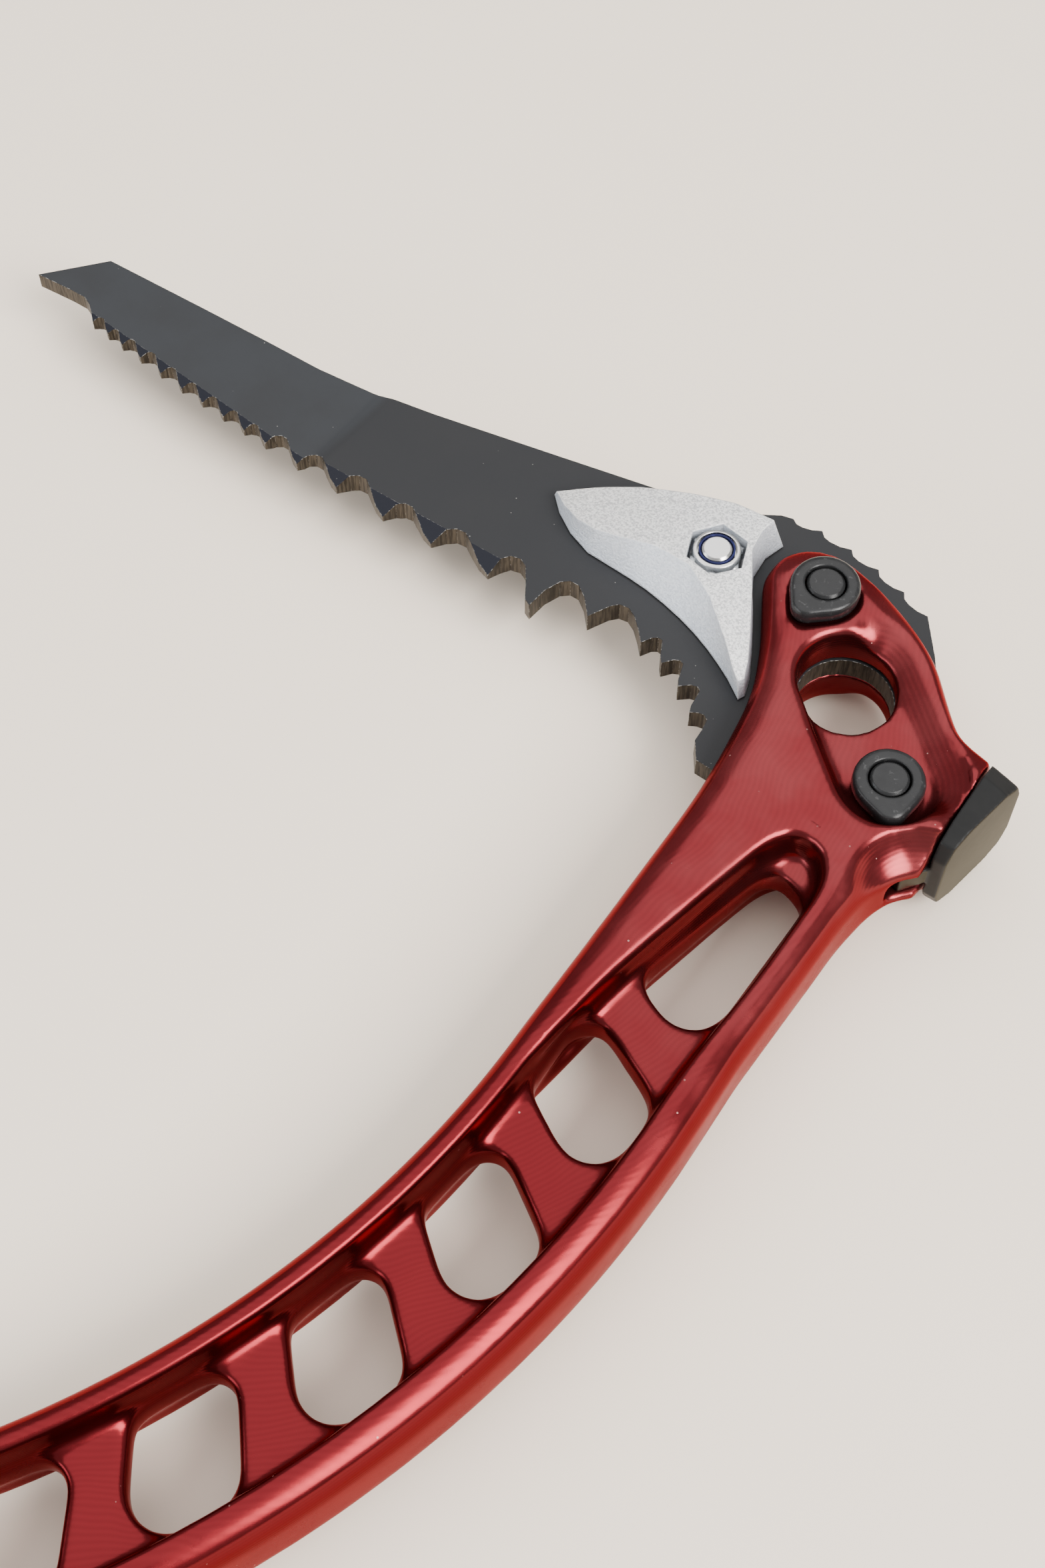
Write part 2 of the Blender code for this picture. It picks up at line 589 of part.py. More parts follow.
def build_frame():
    frame = add_object("frame", plate("frame", frame_outline(), -FRAME_HALF, FRAME_HALF, FRAME_EDGE_ROUND),
                       RED)
    recess = loft("recess", pocket_rings(recess_outline(), WEB_THICKNESS / 2, FRAME_HALF,
                                         RECESS_FLOOR_FILLET, RECESS_RIM_ROUND))
    cut(frame, together("recesses", [recess, mirrored(recess)]))
    holes = [loft("window", through_rings(w, WEB_THICKNESS / 2, WINDOW_EDGE_ROUND)) for w in windows()]
    cut(frame, together("windows", holes))
    dish_outline = round_hull(CARABINER_HOLE, DISH_RADIUS_AT_HOLE, LOWER_BOLT, DISH_RADIUS_AT_NUT)
    dish = loft("dish", pocket_rings(dish_outline, DISH_FLOOR_HEIGHT, FRAME_HALF, DISH_FLOOR_FILLET,
                                     DISH_RIM_ROUND))
    cut(frame, together("dishes", [dish, mirrored(dish)]))
    scoop = bmesh.new()
    bmesh.ops.create_icosphere(scoop, subdivisions=3, radius=SCOOP_RADIUS)
    bmesh.ops.translate(scoop, verts=scoop.verts, vec=(*SCOOP_CENTRE, SCOOP_HEIGHT))
    scoop_mesh = mesh_from("scoop", scoop)
    cut(frame, together("scoops", [scoop_mesh, mirrored(scoop_mesh)]))
    cut(frame, plate("hammer_seat", seat_region(), -FAR, FAR))
    cut(frame, plate("slot", slot_region(), -SLOT_HALF, SLOT_HALF))
    drill(frame, [(CARABINER_HOLE, CARABINER_HOLE_RADIUS), (UPPER_BOLT, M6_HOLE), (LOWER_BOLT, M6_HOLE)])
    egg = egg_outline(UPPER_NUT_TURN, CLEARANCE)
    nut_pocket = plate("nut_pocket", egg, FRAME_HALF - EGG_NUT_POCKET, FRAME_THICKNESS)
    disc = circle(Vector((0, 0)), M6_HEAD_RADIUS + CLEARANCE)
    spotface = plate("spotface", disc, -FRAME_THICKNESS, HEAD_SPOTFACE - FRAME_HALF)
    cut(frame, together("upper_bolt_seats", [nut_pocket, spotface]), None, UPPER_BOLT.to_3d())
    core = CORE_DEPTH / 2
    spike_slot = rectangle(CORE_LENGTH - SPIKE_TANG_LENGTH - CLEARANCE, CORE_LENGTH + core, -core, core)
    cut(frame, plate("spike_slot", spike_slot, -SPIKE_THICKNESS / 2 - CLEARANCE,
                     SPIKE_THICKNESS / 2 + CLEARANCE), HANDLE)
    drill(frame, [(place, RIVET_RADIUS + CLEARANCE) for place in rivet_places()], HANDLE)


def rectangle(left, right, low, high):
    return [Vector((left, low)), Vector((right, low)), Vector((right, high)), Vector((left, high))]


def gullet(tip, next_tip, depth=1.0):
    """A tip and the gullet after it: steep at first, then a long slope down to the next tip."""
    along = next_tip - tip
    across = Vector((-along.y, along.x)) * depth
    return [tip] + [tip + along * a + across * b for a, b in GULLET]


def pick_outline():
    """The pick's edge from its point over the teeth to the rear, and back over the crest."""
    outline = scaled(PICK_BACK[:1]) + scaled(FIRST_GULLET)
    fine = scaled(FINE_TEETH)
    for tip, next_tip in zip(fine, fine[1:]):
        outline += gullet(tip, next_tip)
    outline += fine[-1:] + scaled(LARGE_GULLETS)
    rear = scaled(REAR_TEETH)
    for tip, next_tip in zip(rear, rear[1:]):
        outline += gullet(tip, next_tip, REAR_GULLET_DEPTH)
    outline += rear[-1:] + scaled(REAR_CORNER)
    foot = outline[-1] + SLOT_ALONG * ((LOWER_BOLT - outline[-1]).dot(SLOT_ALONG) - KNUCKLE_RADIUS)
    outline.append(foot)
    seat_radius = KNUCKLE_RADIUS + CLEARANCE
    outline += arc(LOWER_BOLT, seat_radius, math.radians(236), math.radians(112), 14)
    outline += reversed(scaled(PICK_REAR))
    crest = list(reversed(scaled(CREST_TEETH)))
    for peak, next_peak in zip(crest, crest[1:]):
        chord = next_peak - peak
        inward = Vector((-chord.y, chord.x)) * CREST_SCALLOP
        outline += [peak, peak.lerp(next_peak, 0.3) + inward * 0.75, peak.lerp(next_peak, 0.6) + inward,
                    peak.lerp(next_peak, 0.82) + inward * 0.85]
    outline += crest[-1:]
    return outline + list(reversed(scaled(PICK_BACK[1:])))


def build_pick():
    pick = add_object("pick", plate("pick", pick_outline(), -PICK_HALF, PICK_HALF), BLACK_STEEL)
    drill(pick, [(UPPER_BOLT, M6_HOLE), (CARABINER_HOLE, CARABINER_HOLE_RADIUS), (WEIGHT_BOLT, M5_HOLE)])
    relief = (PICK_THICKNESS - PICK_TIP_THICKNESS) / 2
    side = [Vector((-FAR, PICK_HALF - relief)), Vector((-PICK_STEP_RAMP, PICK_HALF - relief)),
            Vector((PICK_STEP_RAMP, PICK_HALF + relief)), Vector((-FAR, PICK_HALF + relief))]
    turn = Matrix.Rotation(PICK_STEP_TURN, 3, "Z")
    rings = []
    for y in (-FAR / 2, FAR / 2):
        rings.append([turn @ Vector((p.x, y, p.y)) + PICK_STEP.to_3d() for p in side])
    thinned = loft("tip_relief", rings)
    cut(pick, together("tip_reliefs", [thinned, mirrored(thinned)]))
    line = scaled(FACET_LINE)
    along = (line[-1] - line[0]).normalized()
    down = Vector((along.y, -along.x)) * math.cos(FACET_SLOPE)
    fall = Vector((*down, -math.sin(FACET_SLOPE)))
    up = Vector((0, 0, FRAME_THICKNESS))
    facet = []
    for edge in level(line, PICK_HALF):
        top = edge - fall * relief / math.sin(FACET_SLOPE)
        low = edge + fall * FRAME_THICKNESS
        facet.append([top, low, low + up, top + up])
    ground = loft("facet", facet)
    cut(pick, ground)
    cut(pick, mirrored(ground))


def build_hammer():
    top = SEAT_TOP + SEAT_OUT * CLEARANCE
    bottom = SEAT_BOTTOM + SEAT_OUT * CLEARANCE
    face_top = SEAT_TOP + SEAT_OUT * STRIKING_FACE_TOP_DEPTH
    face_bottom = SEAT_BOTTOM + SEAT_OUT * STRIKING_FACE_BOTTOM_DEPTH
    up = (face_top - face_bottom).normalized() * FRAME_EDGE_ROUND * 2
    head = smooth_path(scaled(HEAD_OUTLINE), HEAD_STEP)
    head_top = [p for p in head if p.x > SEAT_TOP.x - FRAME_THICKNESS / 2]
    right = head_top[0] + Vector((FRAME_THICKNESS, 0.0))
    left = head_top[-1] - Vector((FRAME_THICKNESS, 0.0))
    low = (face_bottom - bottom).normalized() * FRAME_THICKNESS
    blank = [right] + head_top + [left, bottom - low, face_bottom + low]
    hammer = add_object("hammer", plate("hammer", blank, -FRAME_HALF, FRAME_HALF, FRAME_EDGE_ROUND),
                        BLACK_STEEL)
    along = SEAT_ALONG * up.length
    block = [top - along, bottom + along, face_bottom - up, face_top + up]
    outer = add_object("hammer_block", plate("block", block, -FRAME_THICKNESS, FRAME_THICKNESS))
    shape_with(hammer, outer, "INTERSECT")
    root_top = top + SEAT_ALONG * TANG_ROOT_DROP + SEAT_OUT * TANG_OVERLAP
    root_bottom = bottom + (SEAT_OUT - SEAT_ALONG) * TANG_OVERLAP
    turn = math.atan2(-SEAT_ALONG.y, -SEAT_ALONG.x)
    tang = arc(LOWER_BOLT, KNUCKLE_RADIUS, turn, turn + math.pi, TURN_SEGMENTS // 2)
    tang += [TANG_END, root_bottom, root_top]
    tang_solid = add_object("hammer_tang", plate("tang", tang, -PICK_HALF, PICK_HALF))
    shape_with(hammer, tang_solid, "UNION")
    drill(hammer, [(LOWER_BOLT, M6_HOLE)])


def weight_mesh(name):
    """A weight's drafted body: a smooth outline on the pick, straight sides between the top's points."""
    low = PICK_HALF + CLEARANCE
    step = HEAD_STEP * 1.5
    base = scaled(WEIGHT_BASE)
    top = scaled(WEIGHT_TOP)
    base_ring = smooth_path(base + base[:1], step)[:-1]
    top_ring = []
    for i, corner in enumerate(base):
        k = (i + 1) % len(base)
        count = max(1, round((base[k] - corner).length / step))
        top_ring += [top[i].lerp(top[k], j / count) for j in range(count)]
    return loft(name, [level(base_ring, low), level(top_ring, low + WEIGHT_HEIGHT + CLEARANCE)])


def build_weights():
    low = PICK_HALF + CLEARANCE
    crown = bmesh.new()
    bmesh.ops.create_cone(crown, cap_ends=True, segments=4 * TURN_SEGMENTS, radius1=WEIGHT_CROWN_RADIUS,
                          radius2=WEIGHT_CROWN_RADIUS, depth=2 * FAR)
    bmesh.ops.rotate(crown, verts=crown.verts, matrix=Matrix.Rotation(math.pi / 2, 3, "X"))
    bmesh.ops.translate(crown, verts=crown.verts,
                        vec=(WEIGHT_BOLT.x, WEIGHT_BOLT.y, low + WEIGHT_HEIGHT - WEIGHT_CROWN_RADIUS))
    crown_mesh = mesh_from("crown", crown)
    upper_mesh = weight_mesh("pick_weight_upper")
    upper = add_object("pick_weight_upper", upper_mesh, SILVER)
    lower = add_object("pick_weight_lower", mirrored(upper_mesh), SILVER)
    for weight, mesh in ((upper, crown_mesh), (lower, mirrored(crown_mesh))):
        shape_with(weight, add_object(weight.name + "_crown", mesh), "INTERSECT")
    drill(upper, [(WEIGHT_BOLT, M5_HOLE)])
    seat = low + WEIGHT_FLOOR
    cut(upper, hexagon(M5_NUT_WIDTH + 2 * WEIGHT_POCKET_GAP, seat, FAR, "nut_pocket", WEIGHT_NUT_TURN), None,
        WEIGHT_BOLT.to_3d())
    cut(lower, head_seat(-seat), None, WEIGHT_BOLT.to_3d())


def head_seat(height):
    """A cutter for an M5 bolt from below: a head's pocket up to the height, and a hole above it."""
    pocket = M5_HEAD_RADIUS + CLEARANCE
    return turned("head_seat", [(pocket, -FAR), (pocket, height), (M5_HOLE, height), (M5_HOLE, FAR)])


def build_bolt(name, place, parent, size, head_top, end):
    """A button-head bolt, head below: head_top is the height it clamps at, end its free end."""
    radius, head_radius, head_height, socket_width = size
    low = head_top - head_height
    dome = []
    for degrees in HEAD_DOME:
        a = math.radians(degrees)
        dome.append((head_radius * math.sin(a), low + head_height * HEAD_DOME_SHARE * (1 - math.cos(a))))
    profile = dome + [(head_radius, head_top), (radius, head_top), (radius, end - BOLT_END_CHAMFER),
                      (radius - BOLT_END_CHAMFER, end)]
    bolt = add_object(name, turned(name, profile), BLACK_STEEL, parent)
    bolt.location = place.to_3d()
    depth = head_height * SOCKET_DEPTH_SHARE
    cut(bolt, hexagon(socket_width, low - head_height, low + depth, "socket"), parent, bolt.location)


def build_egg_nut(name, place, turn, seat):
    mesh = plate(name, egg_outline(turn), seat, seat + EGG_NUT_HEIGHT, EGG_NUT_EDGE_ROUND)
    nut = add_object(name, mesh, BLACK_STEEL)
    nut.location = place.to_3d()
    drill(nut, [(place, M6_HOLE)])


def hexagon_ring(width, largest, height, turn):
    """A hexagon trimmed by a circle, as a ring of evenly turned points."""
    ring = []
    for i in range(NUT_SEGMENTS):
        a = math.tau * i / NUT_SEGMENTS
        reach = width / 2 / math.cos(a % (math.pi / 3) - math.pi / 6)
        ring.append((heading_vector(a + turn) * min(reach, largest)).to_3d() + Vector((0, 0, height)))
    return ring


def build_hex_nut(name, place, parent, seat, finish, turn=0.0, insert=False):
    """A lock nut: a hexagon with chamfered corners, a round collar on top and a bore."""
    shoulder = seat + M5_NUT_HEIGHT
    top = shoulder + M5_NUT_COLLAR_HEIGHT
    wide = M5_NUT_WIDTH
    soft = M5_NUT_COLLAR_ROUND
    lip = soft * (1 - math.cos(math.pi / 4))
    collar = M5_NUT_COLLAR_RADIUS
    profile = [(wide / 2 + CLEARANCE / 2, seat), (wide, seat + CLEARANCE), (wide, shoulder - CLEARANCE),
               (collar, shoulder), (collar, top - soft), (collar - lip, top - lip),
               (collar - soft, top)]
    if insert:
        ring_seat = INSERT_RADIUS + CLEARANCE
        ring_low = top - INSERT_HEIGHT - CLEARANCE
        profile += [(ring_seat, top), (ring_seat, ring_low), (M5_HOLE, ring_low)]
    else:
        profile.append((M5_HOLE, top))
    profile.append((M5_HOLE, seat))
    rings = [hexagon_ring(wide, largest, height, turn) for largest, height in profile]
    nut = add_object(name, loft(name, rings, bored=True), finish, parent)
    nut.location = place.to_3d()


def build_fasteners():
    nut_seat = FRAME_HALF - EGG_NUT_POCKET + CLEARANCE
    build_egg_nut("upper_pick_nut", UPPER_BOLT, UPPER_NUT_TURN, nut_seat)
    build_bolt("upper_pick_bolt", UPPER_BOLT, ASSEMBLY, M6, HEAD_SPOTFACE - FRAME_HALF - CLEARANCE,
               nut_seat + EGG_NUT_HEIGHT)
    dish_seat = DISH_FLOOR_HEIGHT + CLEARANCE
    build_egg_nut("lower_pick_nut", LOWER_BOLT, LOWER_NUT_TURN, dish_seat)
    build_bolt("lower_pick_bolt", LOWER_BOLT, ASSEMBLY, M6, -dish_seat, dish_seat + EGG_NUT_HEIGHT)
    weight_seat = PICK_HALF + CLEARANCE + WEIGHT_FLOOR + CLEARANCE
    nut_top = weight_seat + M5_NUT_HEIGHT + M5_NUT_COLLAR_HEIGHT
    build_hex_nut("weight_nut", WEIGHT_BOLT, ASSEMBLY, weight_seat, SILVER, WEIGHT_NUT_TURN, insert=True)
    outer = circle(Vector((0, 0)), INSERT_RADIUS)
    inner = circle(Vector((0, 0)), M5_RADIUS + CLEARANCE / 2)
    insert_low = nut_top - INSERT_HEIGHT
    sides = [(inner, insert_low), (outer, insert_low), (outer, nut_top), (inner, nut_top)]
    rings = [level(outline, height) for outline, height in sides]
    ring = add_object("weight_nut_insert", loft("weight_nut_insert", rings, bored=True), BLUE)
    ring.location = WEIGHT_BOLT.to_3d()
    build_bolt("weight_bolt", WEIGHT_BOLT, ASSEMBLY, M5, -weight_seat, nut_top + CLEARANCE)


def oval(half_depth, half_thickness, u):
    """A rounded section of a grip, across the handle at u."""
    ring = []
    for i in range(TURN_SEGMENTS):
        a = math.tau * i / TURN_SEGMENTS
        c = math.copysign(abs(math.cos(a)) ** GRIP_SQUARENESS, math.cos(a))
        s = math.copysign(abs(math.sin(a)) ** GRIP_SQUARENESS, math.sin(a))
        ring.append(Vector((u, half_depth * c, half_thickness * s)))
    return ring


def core_room():
    """A cutter for the handle's core and the clearance around it, shared by all that sits on it."""
    half = CORE_DEPTH / 2 + CLEARANCE
    thick = FRAME_HALF + CLEARANCE
    outline = rectangle(-FAR, CORE_LENGTH + FAR, -half, half)
    mesh = plate("core_room", outline, -thick, thick, FRAME_EDGE_ROUND)
    return add_object("core_room", mesh, parent=HANDLE)


def build_grip(name, start, length):
    """A rubber sleeve with a slight waist."""
    rings = []
    for i in range(GRIP_STEPS + 1):
        share = i / GRIP_STEPS
        waist = GRIP_WAIST * math.sin(math.pi * share) ** 2
        rings.append(oval(GRIP_DEPTH / 2 - waist, GRIP_THICKNESS / 2, start + length * share))
    grip = add_object(name, loft(name, rings), RUBBER, HANDLE)
    shape_with(grip, CORE_ROOM)


def build_finger_rest():
    """A split collar on the core with a hook in front and two ears behind."""
    start = REST_START
    end = start + REST_LENGTH
    collar = CORE_DEPTH / 2 + CLEARANCE + REST_WALL
    tip = -collar - REST_HOOK_REACH
    ear = collar + REST_EAR_REACH
    corners = [(start, collar), (start, -collar), (end - REST_HOOK_WIDTH * 1.2, -collar),
               (end - REST_HOOK_WIDTH, tip), (end, tip + REST_EDGE_ROUND), (end, collar),
               (end - REST_EAR_REACH / 3, ear), (start + REST_EAR_REACH / 3, ear)]
    outline = rounded_polygon([Vector(c) for c in corners], [r * MM for r in REST_CORNERS])
    half = REST_THICKNESS / 2
    rest = add_object("finger_rest", plate("finger_rest", outline, -half, half, REST_EDGE_ROUND), BLACK,
                      HANDLE)
    shape_with(rest, CORE_ROOM)
    split = rectangle(start - FAR, end + FAR, 0.0, FAR)
    cut(rest, plate("split", split, -REST_SPLIT / 2, REST_SPLIT / 2), HANDLE)
    place = Vector(((start + end) / 2, collar + M5_HEAD_RADIUS + CLEARANCE))
    ear_half = half - M5_HEAD_HEIGHT - CLEARANCE
    cut(rest, head_seat(-ear_half), HANDLE, place.to_3d())
    nut_floor = half - M5_NUT_HEIGHT - M5_NUT_COLLAR_HEIGHT
    cut(rest, hexagon(M5_NUT_WIDTH + 2 * CLEARANCE, nut_floor, FAR, "nut_pocket"), HANDLE, place.to_3d())
    build_hex_nut("finger_rest_nut", place, HANDLE, nut_floor + CLEARANCE, BLACK_STEEL)
    build_bolt("finger_rest_bolt", place, HANDLE, M5, -ear_half - CLEARANCE, half)


def rivet_places():
    """Where the two rivets cross the handle's end."""
    middle = (POMMEL_START + CORE_LENGTH) / 2
    return [Vector((middle, -RIVET_SPACING / 2)), Vector((middle, RIVET_SPACING / 2))]


def build_handle_end():
    start = POMMEL_START
    end = start + POMMEL_LENGTH
    back = POMMEL_DEPTH / 2
    tip = -back - POMMEL_HOOK_REACH
    corners = [(start, back), (start, -back), (end - POMMEL_HOOK_WIDTH * 1.3, -back - REST_EDGE_ROUND),
               (end - POMMEL_HOOK_WIDTH * 0.8, tip), (end, tip), (end, back)]
    outline = rounded_polygon([Vector(c) for c in corners], [r * MM for r in POMMEL_CORNERS])
    half = GRIP_THICKNESS / 2
    rest = add_object("hand_rest", plate("hand_rest", outline, -half, half, REST_EDGE_ROUND), BLACK, HANDLE)
    shape_with(rest, CORE_ROOM)
    root = CORE_LENGTH - SPIKE_TANG_LENGTH
    tang = SPIKE_TANG_WIDTH / 2
    wide = SPIKE_ROOT_WIDTH / 2
    shoulder = CORE_LENGTH + CLEARANCE
    eye = Vector((shoulder + EYE_DISTANCE, 0.0))
    tip = SPIKE_TIP_WIDTH / 2
    side = [(root, tang), (shoulder, tang), (shoulder + SPIKE_SHOULDER, wide), (eye.x, wide),
            (shoulder + SPIKE_REACH, tip)]
    blade = [Vector((u, -n)) for u, n in side] + [Vector((u, n)) for u, n in reversed(side)]
    thick = SPIKE_THICKNESS / 2
    spike = add_object("spike", plate("spike", blade, -thick, thick), STEEL, HANDLE)
    rivet_holes = [(place, RIVET_RADIUS + CLEARANCE) for place in rivet_places()]
    drill(spike, rivet_holes + [(eye, EYE_RADIUS)], HANDLE)
    drill(rest, rivet_holes, HANDLE)
    sinks = []
    for place in rivet_places():
        room = circle(place, RIVET_HEAD_RADIUS + CLEARANCE)
        sink = plate("rivet_seat", room, half - RIVET_HEAD_HEIGHT, FAR)
        sinks += [sink, mirrored(sink)]
    cut(rest, together("rivet_seats", sinks), HANDLE)
    low = half - RIVET_HEAD_HEIGHT + CLEARANCE
    face = RIVET_HEAD_RADIUS - CLEARANCE
    upper_half = [(RIVET_RADIUS, low), (RIVET_HEAD_RADIUS, low), (RIVET_HEAD_RADIUS, half - CLEARANCE),
                  (face, half)]
    profile = [(radius, -height) for radius, height in reversed(upper_half)] + upper_half
    for name, place in zip(("spike_rivet_upper", "spike_rivet_lower"), rivet_places()):
        rivet = add_object(name, turned(name, profile), STEEL, HANDLE)
        rivet.location = place.to_3d()


def set_down():
    """Moves the model so that its origin is under the middle of its box, at its lowest point."""
    bpy.context.view_layer.update()
    depsgraph = bpy.context.evaluated_depsgraph_get()
    corners = []
    for part in PARTS.objects:
        if part.type == "MESH":
            seen = part.evaluated_get(depsgraph)
            corners += [seen.matrix_world @ v.co for v in seen.to_mesh().vertices]
            seen.to_mesh_clear()
    low = [min(c[k] for c in corners) for k in range(3)]
    high = [max(c[k] for c in corners) for k in range(3)]
    ASSEMBLY.location = (-(low[0] + high[0]) / 2, -(low[1] + high[1]) / 2, -low[2])
    bpy.context.view_layer.update()


for leftover in list(bpy.data.objects):
    bpy.data.objects.remove(leftover)
PARTS = collection("ice_axe")
CUTTERS = collection("ice_axe_cutters")
RED = material("red_anodised", (0.30, 0.012, 0.02), 0.35, 0.9)
BLACK_STEEL = material("black_steel", (0.025, 0.026, 0.028), 0.5, 0.6)
SILVER = material("cast_silver", (0.72, 0.72, 0.74), 0.4, 1.0)
STEEL = material("bare_steel", (0.45, 0.43, 0.40), 0.3, 1.0)
BLACK = material("black_nylon", (0.02, 0.02, 0.021), 0.55, 0.0)
RUBBER = material("grip_rubber", (0.03, 0.03, 0.032), 0.8, 0.0)
BLUE = material("nylon_insert", (0.03, 0.05, 0.35), 0.4, 0.0)
ASSEMBLY = empty("ice_axe_origin")
HANDLE = empty("handle_line", ASSEMBLY, shaft_point(ARC_LENGTH, 0.0).to_3d(), HANDLE_HEADING)
CORE_ROOM = core_room()
build_frame()
build_pick()
build_hammer()
build_weights()
build_fasteners()
build_grip("upper_grip", UPPER_GRIP_START, UPPER_GRIP_LENGTH)
build_grip("lower_grip", LOWER_GRIP_START, LOWER_GRIP_LENGTH)
build_finger_rest()
build_handle_end()
set_down()
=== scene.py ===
"""Looks for an ice axe that lies on its side: skins and finishes for its parts, grips, floor, light, camera."""
import math

import bmesh
import bpy
from mathutils import Matrix, Vector


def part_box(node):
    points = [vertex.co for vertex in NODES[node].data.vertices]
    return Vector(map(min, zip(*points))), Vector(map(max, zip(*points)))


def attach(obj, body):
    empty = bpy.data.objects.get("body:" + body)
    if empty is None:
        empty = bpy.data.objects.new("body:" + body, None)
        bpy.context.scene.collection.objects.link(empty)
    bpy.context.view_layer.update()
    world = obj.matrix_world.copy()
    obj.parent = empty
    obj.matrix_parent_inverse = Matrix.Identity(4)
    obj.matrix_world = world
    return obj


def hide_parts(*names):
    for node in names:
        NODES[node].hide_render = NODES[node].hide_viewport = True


MM = 0.001
UP = Vector((0, 0, 1))

# Camera, as the photograph was taken
CAMERA_PLACE = Vector((0.1732, 0.07275, 0.3013))
CAMERA_LOOK = Vector((-0.427, 0.288, -0.857))
CAMERA_RIGHT = Vector((0.559, 0.829, 0.0))
CAMERA_NEAREST = 1 * MM
SENSOR = 36.0
IMAGE_HEIGHT = 2352
FOCAL_PIXELS = 3300

# The tool's middle plane, and the handle's direction towards the spike
MIDDLE = 12.3 * MM
HANDLE_TURN = math.radians(-112.0)
HANDLE_ALONG = Vector((math.cos(HANDLE_TURN), math.sin(HANDLE_TURN), 0.0))
HANDLE_ACROSS = Vector((-HANDLE_ALONG.y, HANDLE_ALONG.x, 0.0))


def add_object(name, data):
    added = bpy.data.objects.new(name, data)
    bpy.context.scene.collection.objects.link(added)
    return added


def make_camera():
    camera = bpy.data.cameras.new("photo_camera")
    camera.sensor_fit = "VERTICAL"
    camera.sensor_height = SENSOR
    camera.lens = FOCAL_PIXELS / IMAGE_HEIGHT * SENSOR
    camera.clip_start = CAMERA_NEAREST
    look = CAMERA_LOOK.normalized()
    up = CAMERA_RIGHT.cross(look).normalized()
    right = look.cross(up)
    turn = Matrix((right, up, -look)).transposed().to_4x4()
    holder = add_object("photo_camera", camera)
    holder.matrix_world = Matrix.Translation(CAMERA_PLACE) @ turn
    bpy.context.scene.camera = holder


make_camera()
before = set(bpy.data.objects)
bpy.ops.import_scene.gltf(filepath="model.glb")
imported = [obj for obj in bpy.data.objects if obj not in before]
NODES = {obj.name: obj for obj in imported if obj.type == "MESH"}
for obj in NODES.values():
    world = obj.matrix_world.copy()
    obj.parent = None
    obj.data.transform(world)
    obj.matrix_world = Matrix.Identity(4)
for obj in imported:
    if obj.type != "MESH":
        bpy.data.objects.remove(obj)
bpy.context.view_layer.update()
NUT_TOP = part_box("weight_nut")[1][2]

EDGE_SAMPLES = 6
EDGE_SHARPNESS = 0.06
EDGE_FADE = 6
WORN_COVER = (0.50, 0.60)
NOISE_ROUGHNESS = 0.55
COARSE_ROUGHNESS = 0.7


